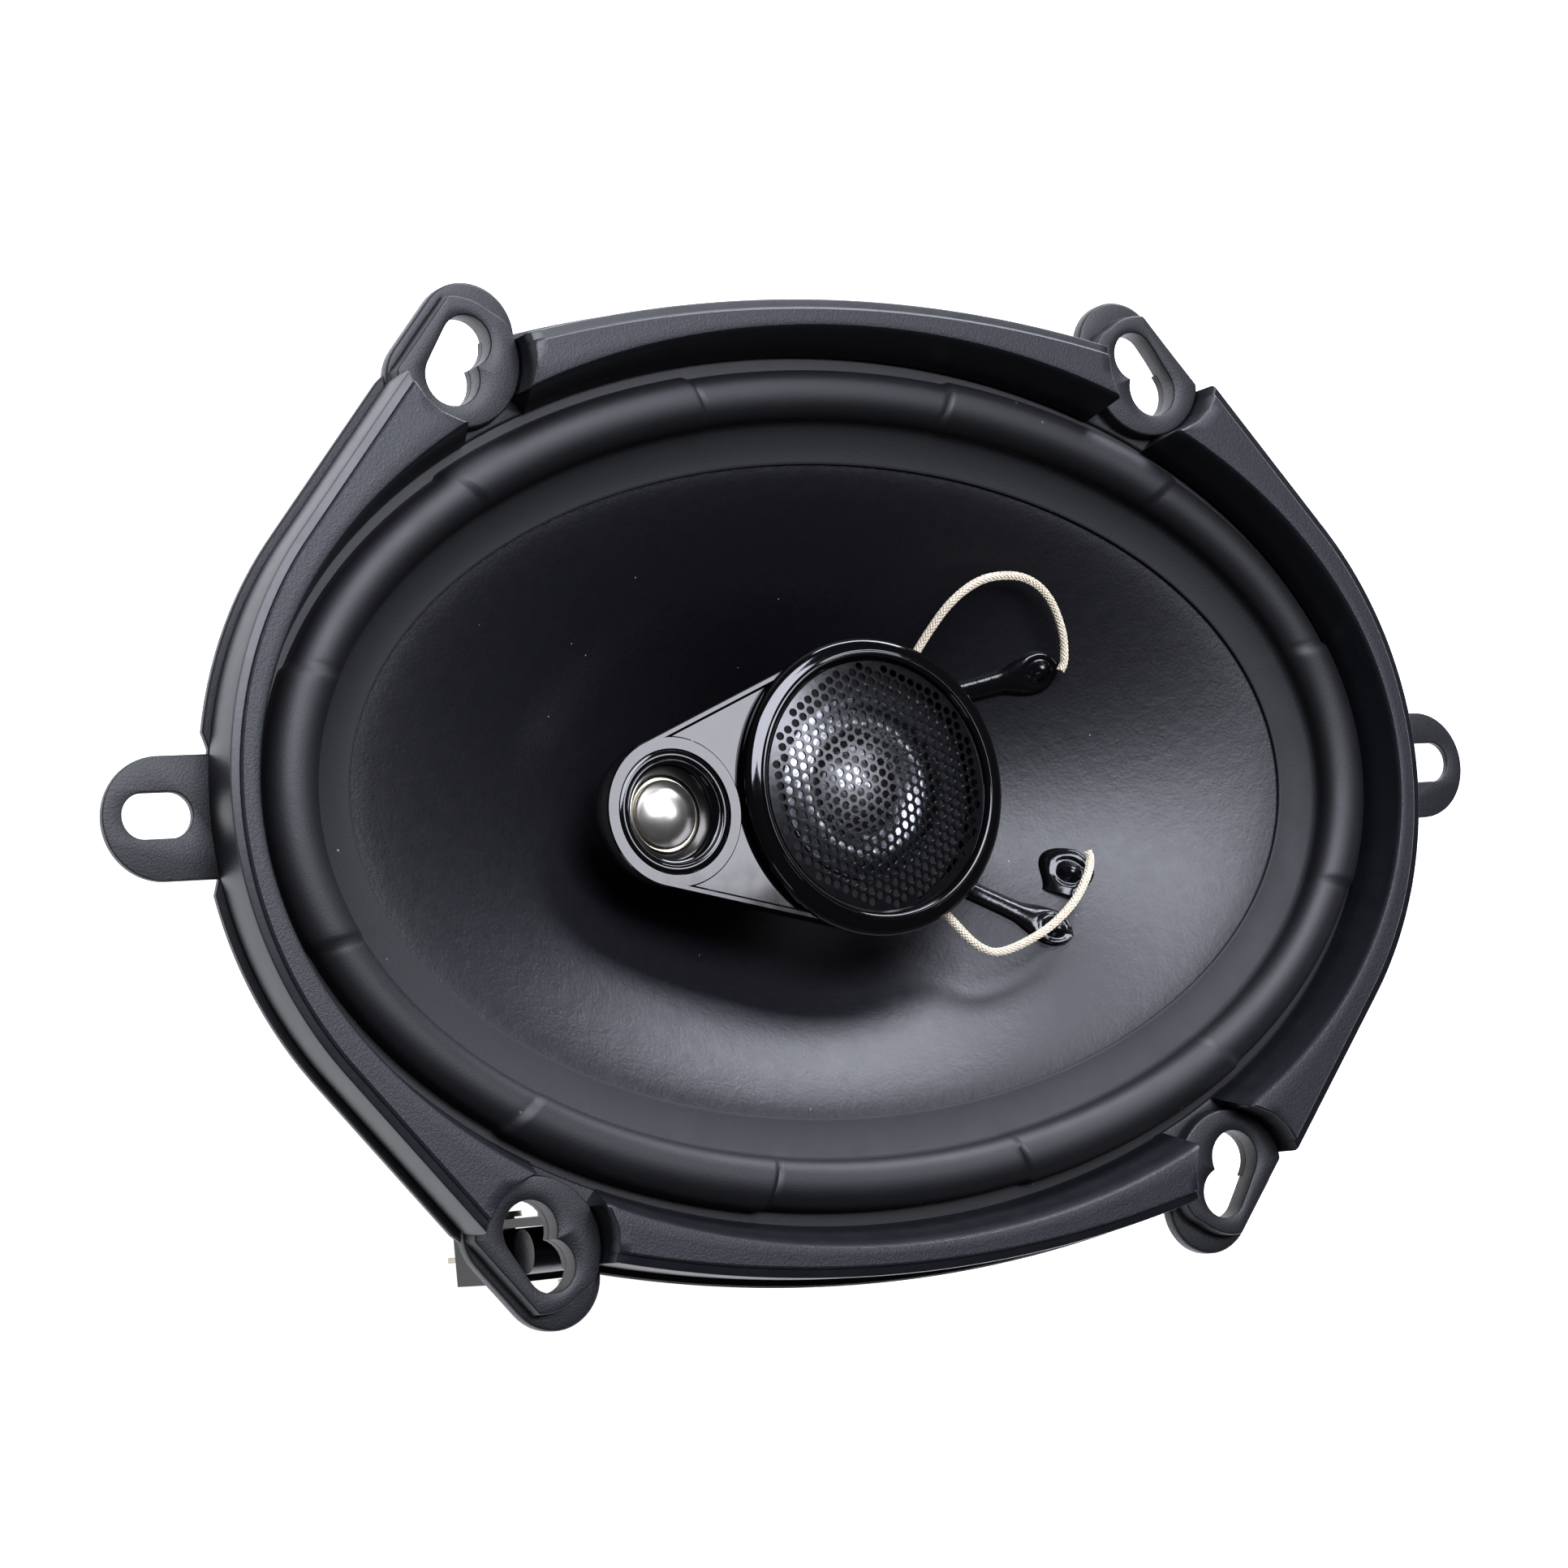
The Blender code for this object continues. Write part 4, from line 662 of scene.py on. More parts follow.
def carve(piece, tools):
    """Applies each (tool, operation) to the piece and removes the tools."""
    for tool, operation in tools:
        modifier = piece.modifiers.new(tool.name, "BOOLEAN")
        modifier.operation = operation
        modifier.object = tool
        modifier.solver = "EXACT"
    graph = bpy.context.evaluated_depsgraph_get()
    piece.data = bpy.data.meshes.new_from_object(piece.evaluated_get(graph))
    piece.modifiers.clear()
    for tool, _ in tools:
        bpy.data.objects.remove(tool)


def soften(piece, width, segments=2):
    """Rounds the piece's edges by a width in millimetres."""
    modifier = piece.modifiers.new("edges", "BEVEL")
    modifier.width = width * MM
    modifier.segments = segments
    modifier.limit_method = "ANGLE"
    modifier.angle_limit = radians(35)


def prism(outline, low, high):
    """A flat outline raised between two heights. It has to be one that strips across it can fill."""
    return skin([[(x, y, low) for x, y in outline], [(x, y, high) for x, y in outline]], ring=False)


def block(low, high):
    (x1, y1, z1), (x2, y2, z2) = low, high
    return prism([(x1, y1), (x2, y1), (x2, y2), (x1, y2)], z1, z2)


def rod(start_point, end_point, radius, steps=32):
    """A straight cylinder between two points."""
    a, b = Vector(start_point), Vector(end_point)
    turn = (b - a).to_track_quat("Z", "Y").to_matrix()
    flat = circle((0, 0), radius, steps)
    sections = [[tuple(end + turn @ Vector((x, y, 0))) for x, y in flat] for end in (a, b)]
    return skin(sections, ring=False)


def merged(*shapes):
    """Several shapes as one."""
    points, faces = [], []
    for more, sides in shapes:
        faces += [tuple(i + len(points) for i in side) for side in sides]
        points += more
    return points, faces


def weigh(piece):
    """Bakes a blended piece's placement into its points."""
    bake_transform(piece)


def smoothstep(value):
    value = min(max(value, 0.0), 1.0)
    return value * value * (3 - 2 * value)


# ---- Mounting frame ----

def corner(outline, signs):
    return [(signs[0] * (EAR_CENTRE[0] + x), signs[1] * (EAR_CENTRE[1] + y)) for x, y in outline]


def make_basket(steel):
    """One pressing: flange, tub, six arms, the spider's seat, the base, and the tab bent down for terminals."""
    top = (ROLL_OUT[0] - 2, ROLL_OUT[1] - 2)
    sections = [
        polar(flange_radius, -0.25), polar(lambda a: flange_radius(a) - 0.25, 0),
        oval(*top, 0), oval(top[0] - 0.5, top[1] - 0.5, -0.3),
        oval(top[0] - SHEET, top[1] - SHEET, -TUB_DEPTH + 0.6),
        oval(top[0] - SHEET - 0.6, top[1] - SHEET - 0.6, -TUB_DEPTH),
        oval(SHELF[1] + 0.5, SHELF[1] + 0.5, SHELF_Z + 0.3), oval(SHELF[1] - 0.4, SHELF[1] - 0.4, SHELF_Z),
        oval(SHELF[0], SHELF[0], SHELF_Z), oval(BASE_RADIUS, BASE_RADIUS, BASE_TOP),
        oval(BASE_HOLE, BASE_HOLE, BASE_TOP), oval(BASE_HOLE, BASE_HOLE, BASE_TOP - SHEET),
        oval(BASE_RADIUS + SHEET, BASE_RADIUS + SHEET, BASE_TOP - SHEET),
        oval(SHELF[0] + SHEET, SHELF[0] + SHEET, SHELF_Z - SHEET),
        oval(SHELF[1] + SHEET, SHELF[1] + SHEET, SHELF_Z - SHEET),
        oval(top[0], top[1], -TUB_DEPTH), oval(top[0] + SHEET, top[1] + SHEET, -SHEET),
        polar(lambda a: flange_radius(a) - 0.2, -SHEET), polar(flange_radius, -SHEET + 0.2),
    ]
    basket = blank("basket_shell", skin(sections))
    tools = []
    low, high = SHELF_Z + 1.5, -TUB_DEPTH - 1
    for n, angle in enumerate(ARMS):
        following = ARMS[(n + 1) % len(ARMS)] + (360 if n == len(ARMS) - 1 else 0)
        inner, outer = SHELF[0] - 2, 97.0
        edges = []
        for radius in (inner, outer):
            lean = asin(ARM_WIDTH / 2 / radius)
            edges.append(arc((0, 0), radius, radians(angle) + lean, radians(following) - lean, 8))
        tools.append((blank(f"window_{n}", prism(edges[0] + edges[1][::-1], low, high)), "DIFFERENCE"))
    tab = blank("tab", block((TAB_X[0], TAB_Y - SHEET, -TAB_DEPTH), (TAB_X[1], TAB_Y, -SHEET / 2)))
    tools.append((tab, "UNION"))
    for n, signs in enumerate(CORNERS):
        outline = corner([(x * 1.01, y * 1.01) for x, y in keyhole(HOLE_LOBES)], signs)
        tools.append((blank(f"keyhole_{n}", spiked(outline, signs, -4, 4)), "DIFFERENCE"))
    for n in range(4):
        x, y = rivet_place(n)
        hole = rod((x, y, BASE_TOP - 3), (x, y, BASE_TOP + 3), 2.0)
        tools.append((blank(f"rivet_hole_{n}", hole), "DIFFERENCE"))
    carve(basket, tools)
    settle(basket, [steel], "frame", ["basket"], 32)


def spiked(outline, signs, low, high):
    """A prism over any outline that is seen whole from the middle of its ear, filled from there."""
    x, y = corner([(0, 0)], signs)[0]
    count = len(outline)
    points = [(px, py, low) for px, py in outline] + [(px, py, high) for px, py in outline]
    points += [(x, y, low), (x, y, high)]
    faces = []
    for i in range(count):
        j = (i + 1) % count
        faces += [(i, j, count + j, count + i), (i, j, 2 * count), (count + i, count + j, 2 * count + 1)]
    return points, faces


def pad_radius(angle):
    """How far an ear's pad reaches: round, cut straight beside the rim's slant, wider towards the middle."""
    c, s = cos(angle), sin(angle)
    toward_end = smoothstep((c - s - 0.9) / 0.4)
    toward_middle = smoothstep((-c - s + 0.2) / 0.5)
    slant = EAR_SLANT / max(0.01, c * SLANT[0] + s * SLANT[1])
    return min(EAR_PAD + (POCKET - 0.15) * max(toward_end, toward_middle), slant)


def make_corner_ear(number, signs, steel):
    """A raised ear: a flat pad in its pocket, a lower rim outside it, a keyhole with a turned-down wall."""
    lobes = belt(*EAR_LOBES)
    hole_line = keyhole(HOLE_LOBES)
    steps = 180
    wall_limit = 13.5  # the foot follows the inner wall no farther out than this
    rows = []
    for i in range(steps):
        angle = 2 * pi * i / steps
        hole = reach(hole_line, angle)
        top = min(pad_radius(angle), to_wall(angle, 3.2))
        wall = to_wall(angle, 1.0)
        low = max(top + 0.1, wall if wall < wall_limit else reach(lobes, angle))
        step = min(top + 0.3, low - 0.05)
        rows.append([
            (hole + 0.6, -SHEET - 0.05), (hole + 0.1, -0.6), (hole, 2.8), (hole + 0.06, 3.0),
            (hole + 0.2, 3.1), ((hole + top) / 2, 3.1), (top - 0.32, 3.1), (top - 0.1, 3.03), (top, 2.8),
            (top + 0.04, 1.1), (step, 0.8), (low - 0.45, 0.85), (low - 0.12, 0.72), (low, 0.4),
            (low, -SHEET + 0.2), (low - 0.2, -SHEET - 0.05),
        ])
    sections = []
    turned = [2 * pi * i / steps for i in range(steps)]
    for k in range(len(rows[0])):
        ring = corner([(rows[i][k][0] * cos(a), rows[i][k][0] * sin(a)) for i, a in enumerate(turned)], signs)
        sections.append([(x, y, rows[i][k][1]) for i, (x, y) in enumerate(ring)])
    make(f"corner_ear_{number + 1}", skin(sections), steel, "frame", sharp=50)


def make_end_ear(name, side, steel):
    """A flat D-shaped ear with its slot, its edges broken by the press."""
    half = END_EAR_WIDTH / 2
    centre = END_EAR_TIP - half
    edge = 0.22
    inner = RIM_LENGTH / 2 - RIM_FACE
    outline = [(inner, -half), *arc((centre, 0), half, -pi / 2, pi / 2, 40), (inner, half)]
    outline = [(x, y + END_EAR_SHIFT) for x, y in outline]
    radius = SLOT[2] / 2
    slot = arc((SLOT[1] - radius, 0), radius, -pi / 2, pi / 2, 20)
    slot += arc((SLOT[0] + radius, 0), radius, pi / 2, 3 * pi / 2, 20)
    curve = bpy.data.curves.new(name, "CURVE")
    curve.dimensions = "2D"
    curve.fill_mode = "BOTH"
    curve.extrude = (SHEET / 2 - edge) * MM
    curve.bevel_depth = edge * MM
    curve.bevel_resolution = 2
    curve.offset = -edge * MM
    for loop in (outline, slot):
        spline = curve.splines.new("POLY")
        spline.points.add(len(loop) - 1)
        for point, (x, y) in zip(spline.points, loop):
            point.co = (side * x * MM, y * MM, 0, 1)
        spline.use_cyclic_u = True
    guide = bpy.data.objects.new(name + "_curve", curve)
    guide.location.z = (FLANGE - SHEET / 2) * MM
    bpy.context.scene.collection.objects.link(guide)
    graph = bpy.context.evaluated_depsgraph_get()
    mesh = bpy.data.meshes.new_from_object(guide.evaluated_get(graph))
    mesh.transform(Matrix.Translation(guide.location))
    bpy.data.objects.remove(guide)
    work = bmesh.new()
    work.from_mesh(mesh)
    bmesh.ops.remove_doubles(work, verts=work.verts[:], dist=0.000005)
    bmesh.ops.recalc_face_normals(work, faces=work.faces[:])
    work.to_mesh(mesh)
    work.free()
    ear = bpy.data.objects.new(name, mesh)
    bpy.context.scene.collection.objects.link(ear)
    settle(ear, [steel], "frame")


def in_pocket(x, y):
    """Whether a place lies in a pocket that the trim leaves round a corner ear."""
    return hypot(abs(x) - EAR_CENTRE[0], abs(y) - EAR_CENTRE[1]) < EAR_PAD + POCKET


# The trim's section from its outer wall over its face and down its inner wall: (line it is measured from,
# way in from that line, height). "across" runs from 0 at the field's outer edge to 1 at its inner edge.
TRIM_SECTION = (
    ("outer", 0.0, 7.0), ("outer", 0.1, 7.3), ("outer", 0.32, 7.42), ("outer", 1.15, 7.42),
    ("outer", 1.32, 7.5), ("outer", 1.45, 7.85), ("outer", 1.68, 8.0), ("across", 0.3, 8.0),
    ("across", 0.65, 8.0), ("inner", -0.6, 8.0), ("inner", -0.22, 7.92), ("inner", 0.0, 7.66),
    ("inner", 0.12, 7.2), ("inner", 0.33, 5.5), ("inner", 0.66, 3.3), ("inner", 1.0, 1.1),
)
TRIM_SHOULDER_POINTS = 6  # points of the section before the grained field starts
TRIM_WALL_POINT = 11  # point of the section where the grained field ends


def trim_line(kind, way_in, angle):
    """Distance from the middle of one line that runs along the trim."""
    if kind == "outer":
        return rim_radius(angle, -way_in)
    if kind == "across":
        first, second = rim_radius(angle, -1.68), ellipse_radius(angle, INNER[0] + 0.6, INNER[1] + 0.6)
        return first + (second - first) * way_in
    if way_in <= 0:
        return ellipse_radius(angle, INNER[0] - way_in, INNER[1] - way_in)
    return ellipse_radius(angle, INNER[0] - WALL_LEAN[0] * way_in, INNER[1] - WALL_LEAN[1] * way_in)


def trim_end(kind, way_in, middle, toward):
    """Angle at which a line along the trim runs into the pocket, found by halving."""
    if kind == "inner":
        way_in = min(way_in, 0.0)
    clear, blocked = middle, toward
    for _ in range(40):
        angle = (clear + blocked) / 2
        radius = trim_line(kind, way_in, angle)
        if in_pocket(radius * cos(angle), radius * sin(angle)):
            blocked = angle
        else:
            clear = angle
    return clear


def make_trim(grained, smooth):
    """The moulded rim in four lengths, each ending in the round of its pockets."""
    ear_angle = atan2(EAR_CENTRE[1], EAR_CENTRE[0])
    spans = {
        "right": (-ear_angle, 0.0, ear_angle),
        "upper": (ear_angle, pi / 2, pi - ear_angle),
        "left": (pi - ear_angle, pi, pi + ear_angle),
        "lower": (pi + ear_angle, 3 * pi / 2, 2 * pi - ear_angle),
    }
    steps = 110
    drops = ((0.0, 0.45), (0.12, 0.16), (0.4, 0.0))  # way from the end, and how far the face drops there
    for name, (low_angle, middle, high_angle) in spans.items():
        tops, bottoms = [], []
        for kind, way_in, z in TRIM_SECTION:
            first = trim_end(kind, way_in, middle, low_angle)
            last = trim_end(kind, way_in, middle, high_angle)
            radius = trim_line(kind, way_in, first)
            stops = [(first + d / radius, drop) for d, drop in drops]
            stops += [(first + (last - first) * i / steps, 0.0) for i in range(2, steps - 1)]
            stops += [(last - d / radius, drop) for d, drop in reversed(drops)]
            top, bottom = [], []
            for angle, drop in stops:
                r = trim_line(kind, way_in, angle)
                x, y = r * cos(angle), r * sin(angle)
                low = 1.04 if kind == "inner" and way_in > 0 else 0.3
                top.append((x, y, max(z - drop if z > 6 else z, low + 0.04)))
                bottom.append((x, y, low))
            tops.append(top)
            bottoms.append(bottom)
        count = len(tops[0])
        sections = [[t[i] for t in tops] + [b[i] for b in reversed(bottoms)] for i in range(count)]
        piece = make(
            f"trim_{name}", skin(sections, ring=False), grained, "frame",
            [f"trim_segment_{name}"], 30,
        )
        piece.data.materials.append(smooth)
        row = 2 * len(TRIM_SECTION)
        for polygon in piece.data.polygons:
            lines = [index % row for index in polygon.vertices]
            field = all(TRIM_SHOULDER_POINTS - 1 <= line <= TRIM_WALL_POINT for line in lines)
            polygon.material_index = 0 if field else 1


def rivet_place(n):
    angle = pi / 4 + n * pi / 2
    return 30 * cos(angle), 30 * sin(angle)


# ---- Surround and cone ----

def roll_swell(angle):
    """1 on the fuller lengths of the roll, 0 on the others, and how near the place is to a step, 1 on it."""
    turn = abs((angle + pi) % (2 * pi) - pi)
    folded = min(turn, pi - turn) * 180 / pi
    lengths = sum(folded > notch for notch in SURROUND_NOTCHES)
    nearest = min(SURROUND_NOTCHES, key=lambda notch: abs(folded - notch))
    side = (folded - nearest) / 0.32
    before = (lengths if folded <= nearest else lengths - 1) % 2
    share = smoothstep(side / 2 + 0.5)
    swell = (1 - before) * (1 - share) + before * share
    return swell, exp(-((folded - nearest) / 0.25) ** 2)


def make_surround(rubber, band):
    """Half roll in twelve lengths that step up and down a little, its foot, and the flat band on the cone."""
    angles = [2 * pi * i / 720 for i in range(720)]
    rows = []
    foot = 0.3 + RUBBER_T
    for angle in angles:
        swell, groove = roll_swell(angle)
        out = ellipse_radius(angle, *ROLL_OUT) + 0.45 * swell
        inn = ellipse_radius(angle, *ROLL_IN) - 0.1 * swell
        foot_out = ellipse_radius(angle, INNER[0] - 0.3, INNER[1] - 0.3)
        cone_in = ellipse_radius(angle, *CONE_EDGE)
        rise = ROLL_HEIGHT - 0.25 + 0.35 * swell - 0.35 * groove
        top, under = [(foot_out, 0.34), (out + 0.1, 0.34)], [(foot_out, 0.3), (out - 0.3, 0.3)]
        for k in range(17):
            a = pi * k / 16
            middle, half = (out + inn) / 2, (out - inn) / 2
            top.append((middle + half * cos(a), foot + rise * sin(a) ** 0.85))
            thin, low = half - RUBBER_T, rise - RUBBER_T
            under.append((middle + thin * cos(a), foot + low * sin(a) ** 0.85 - 0.02))
        edge = CONE_EDGE_Z + 0.3
        top += [
            (inn - 0.7, edge + 1.37), (cone_in + 0.5, edge + 0.35), (cone_in + 0.12, edge + 0.3),
            (cone_in, edge + 0.18),
        ]
        under += [
            (inn - 0.7, edge + 1.05), (cone_in + 0.5, edge + 0.05), (cone_in + 0.12, edge), (cone_in, edge),
        ]
        rows.append([(r * cos(angle), r * sin(angle), z) for r, z in top + under[::-1]])
    surround = make("surround_roll", skin(rows), rubber, None, ["surround"], 55)
    surround.data.materials.append(band)
    count = len(rows[0])
    band_points = range(len(top) - 5, len(top) + 1)  # from the roll's foot to the band's inner edge
    for polygon in surround.data.polygons:
        if all(index % count in band_points for index in polygon.vertices):
            polygon.material_index = 1
    for vertex in surround.data.vertices:
        angle = atan2(vertex.co.y, vertex.co.x)
        out, inn = ellipse_radius(angle, *ROLL_OUT), ellipse_radius(angle, *ROLL_IN)
    weigh(surround)


def cone_height(share):
    share = min(max(share, 0.0), 1.0)
    return NECK_Z + (CONE_EDGE_Z - NECK_Z) * (1 - (1 - share) ** CONE_CURVE)


def cone_share(x, y):
    """How far out a place lies on the cone, 0 at the neck and 1 at the edge of the band."""
    low, high = -0.3, 1.3
    for _ in range(30):
        middle = (low + high) / 2
        half_x = NECK_RADIUS + (CONE_EDGE[0] - NECK_RADIUS) * middle
        half_y = NECK_RADIUS + (CONE_EDGE[1] - NECK_RADIUS) * middle
        low, high = (middle, high) if (x / half_x) ** 2 + (y / half_y) ** 2 > 1 else (low, middle)
    return middle


def make_cone(pulp):
    """Pulp cone from its round neck to its oval edge."""
    def face(drop):
        rows = []
        for i in range(41):
            share = 1 - i / 40
            half = [NECK_RADIUS + (edge - NECK_RADIUS) * share for edge in CONE_EDGE]
            rows.append(oval(*half, cone_height(share) - drop))
        return rows

    rim_z = CONE_EDGE_Z + 0.8
    rim_half = (ROLL_IN[0] - 0.3, ROLL_IN[1] - 0.3)
    sections = [oval(*rim_half, rim_z), *face(0), *face(CONE_T)[::-1], oval(*rim_half, rim_z - CONE_T)]
    make("cone_body", skin(sections), pulp, "cone_assembly", ["cone"])


def glue_drop(spec, side=1):
    """A drop of glue on the cone: a thin tail, and a broad head with a hollow round the soldered end."""
    tail, head = Vector(spec[0]), Vector(spec[1])
    half_width, height = spec[2], spec[3]
    along = (head - tail).normalized()
    across = Vector((-along.y, along.x))
    length = (head - tail).length
    centre = head - along * half_width * 0.95
    head_length = 2.6 * half_width
    sections = []
    for i in range(49):
        s = i / 48
        place = tail + along * length * s
        swell = max(0.0, (length * s - max(0.0, length - head_length)) / min(length, head_length))
        waist = 0.66 - 0.12 * sin(pi * min(s * 1.2, 1.0))
        width = half_width * (waist + (1 - waist) * sin(pi * min(swell * 0.8, 1.0)) ** 1.4)
        if swell > 0.62:
            width = half_width * sqrt(max(0.02, 1 - ((swell - 0.62) / 0.385) ** 2))
        upper, lower = [], []
        for k in range(17):
            u = -1 + k / 8
            spot = place + across * width * u
            ground = cone_height(cone_share(spot.x, spot.y)) - (CONE_T * 1.6 if side < 0 else 0)
            from_centre = (spot - centre).length
            rise = height * 0.62 * (0.55 + 0.45 * width / half_width) * sqrt(max(0.0, 1 - u * u))
            if side > 0:
                rise += 0.75 * exp(-(from_centre**2)) - 0.55 * exp(-(((from_centre - 1.8) / 0.45) ** 2))
            upper.append((spot.x, spot.y, ground + side * max(0.12, rise)))
            lower.append((spot.x, spot.y, ground - side * 0.15))
        sections.append(upper + lower[::-1])
    return skin(sections, ring=False)


# ---- Leads ----

def smooth_route(points, spacing):
    """Points at about one spacing along a smooth curve through the given ones."""
    points = [Vector(p) for p in points]
    ends = [points[0] * 2 - points[1], *points, points[-1] * 2 - points[-2]]
    route = []
    for a, b, c, d in zip(ends, ends[1:], ends[2:], ends[3:]):
        count = max(1, round((c - b).length / spacing))
        for i in range(count):
            t = i / count
            route.append(
                (b * 2 + (c - a) * t + (a * 2 - b * 5 + c * 4 - d) * t**2 + (b * 3 - a - c * 3 + d) * t**3) / 2
            )
    return [*route, points[-1]]


def make_lead(name, points, braid, node):
    """A braided lead: a core, and eight flat strands wound each way round it, in turn over and under."""
    route = smooth_route(points, 0.4)
    lengths = [0.0]
    for a, b in zip(route, route[1:]):
        lengths.append(lengths[-1] + (b - a).length)
    frames = []
    side = Vector((0, 0, 1))
    for i, place in enumerate(route):
        ahead = (route[min(i + 1, len(route) - 1)] - route[max(i - 1, 0)]).normalized()
        side = (side - ahead * side.dot(ahead)).normalized()
        frames.append((place, side, ahead.cross(side), ahead))
    shapes, shares = [], []
    strands, pitch, sides = 8, 5.2, 4
    core = [
        [tuple(place + (first * cos(a) + second * sin(a)) * 0.5) for a in (2 * pi * k / 12 for k in range(12))]
        for place, first, second, _ in frames
    ]
    shapes.append(skin(core, ring=False))
    shares += [length / lengths[-1] for length in lengths for _ in range(12)]
    for hand in (1, -1):
        for n in range(strands):
            sections = []
            for (place, first, second, ahead), length in zip(frames, lengths):
                turn = hand * 2 * pi * length / pitch + 2 * pi * n / strands
                over = 0.055 * hand * cos(2 * pi * length / pitch * strands / 2 + pi * n)
                out = first * cos(turn) + second * sin(turn)
                flat = (ahead.cross(out) * hand + ahead * 1.1).normalized()
                middle = place + out * (0.56 + over)
                sections.append([
                    tuple(middle + flat * 0.17 * cos(a) + out * 0.085 * sin(a))
                    for a in (2 * pi * k / sides + pi / 4 for k in range(sides))
                ])
            shapes.append(skin(sections, ring=False))
            shares += [length / lengths[-1] for length in lengths for _ in range(sides)]
    lead = make(name, merged(*shapes), braid, None, [node], 80)
    weigh(lead)


# ---- Tweeter pod ----

def pod_belt(main, other, z):
    return [(*to_pod(x, y), z) for x, y in belt((main[0], 0, main[1]), (other[0], 0, other[1]), 47)]


def make_pod(abs_plastic):
    """Glossy housing: a bowl under both tweeters, a raised rim, and a ring wall round the small one."""
    def both(inset, z):
        return pod_belt((MAIN_X, MAIN_RADIUS - inset), (SUPER_X, SUPER_RADIUS - inset), z)

    sections = [
        pod_belt((MAIN_X - 1, 13.4), (-9.0, 5.0), POD_BOTTOM),
        pod_belt((MAIN_X - 1, 14.4), (-9.0, 6.0), POD_BOTTOM + 0.3),
        pod_belt((MAIN_X, 17.9), (SUPER_X + 4, 7.9), -14.0),
        both(1.2, -12.2), both(0.4, -11.0), both(0.1, -9.5), both(0.0, -7.2), both(0.06, POD_RIM_Z - 0.15),
        both(0.2, POD_RIM_Z), both(0.75, POD_RIM_Z), both(0.92, POD_RIM_Z - 0.15), both(1.05, WEB_Z + 0.1),
        both(1.2, WEB_Z),
    ]
    housing = blank("pod_body", skin(sections, ring=False))
    main, other = to_pod(MAIN_X, 0), to_pod(SUPER_X, 0)
    wall = [
        (SUPER_RADIUS - 0.2, POD_RIM_Z), (SUPER_RADIUS, POD_RIM_Z - 0.2), (SUPER_RADIUS, WEB_Z - 1),
        (9.0, WEB_Z - 1), (9.0, POD_RIM_Z - 0.1), (9.1, POD_RIM_Z),
    ]
    pocket = [(0, 1), (18.7, 1), (18.7, -11.0), (16.2, -11.0), (12.7, POD_BOTTOM + 1.5), (0, POD_BOTTOM + 1.5)]
    small = [(0, 1), (9.05, 1), (9.05, -10.6), (0, -10.6)]
    tools = [
        (blank("super_wall", lathe(wall, other)), "UNION"),
        (blank("main_pocket", lathe(pocket, main)), "DIFFERENCE"),
        (blank("super_pocket", lathe(small, other)), "DIFFERENCE"),
    ]
    carve(housing, tools)
    settle(housing, [abs_plastic], "frame", ["pod_housing"], 28)


def make_tweeters(abs_plastic, grille_paint, film, chrome):
    main, other = to_pod(MAIN_X, 0), to_pod(SUPER_X, 0)
    bezel = [
        (18.7, -5.4), (18.95, -4.9), (19.2, -4.5), (19.45, -4.38), (19.7, -4.42), (19.85, -4.6), (20.0, -4.72),
        (20.6, -4.78), (21.3, -5.0), (21.75, -5.3), (22.0, -5.75), (22.1, -6.2), (22.1, -6.7), (18.7, -6.7),
    ]
    make("main_bezel", lathe(bezel, main, 160), abs_plastic, "frame", ["tweeter_bezel"], 60)
    make("main_grille", grille_shape(main), grille_paint, "frame", ["tweeter_grille"])
    base = -9.1  # height of the film's flat edge
    crest = [(6.6 * i / 10, base + 2.4 * (1 - (i / 10) ** 2)) for i in range(11)]
    crest += [(6.6 + 5.2 * i / 10, base + 1.15 * sin(pi * i / 10 * 0.85) ** 0.8) for i in range(1, 11)]
    crest += [(12.6, base + 0.1), (13.5, base)]
    film_shape = lathe(crest + [(r, z - 0.2) for r, z in reversed(crest)], main)
    make("main_diaphragm", film_shape, film, "tweeter_film", ["tweeter_diaphragm"], 50)
    ring = [
        (8.94, -6.7), (8.94, -6.5), (8.82, -6.4), (7.85, -6.4), (7.72, -6.46), (7.62, -6.62), (7.5, -6.5),
        (7.3, -6.52), (6.9, -6.9), (6.4, -7.6), (5.9, -8.5), (5.6, -9.0), (5.42, -9.3), (5.42, -9.5),
        (8.75, -9.5), (8.75, -7.0),
    ]
    make("super_bezel", lathe(ring, other), abs_plastic, "frame",
         ["super_tweeter_bezel"], 60)
    dome = [(4.95 * i / 14, -7.35 - 1.95 * (i / 14) ** 2.2) for i in range(15)] + [(4.95, -9.4)]
    shell = dome + [(r * 0.95, z - 0.25) for r, z in reversed(dome[:-1])]
    make("super_dome", lathe(shell, other), chrome, "super_tweeter_film",
         ["super_tweeter_dome"], 60)


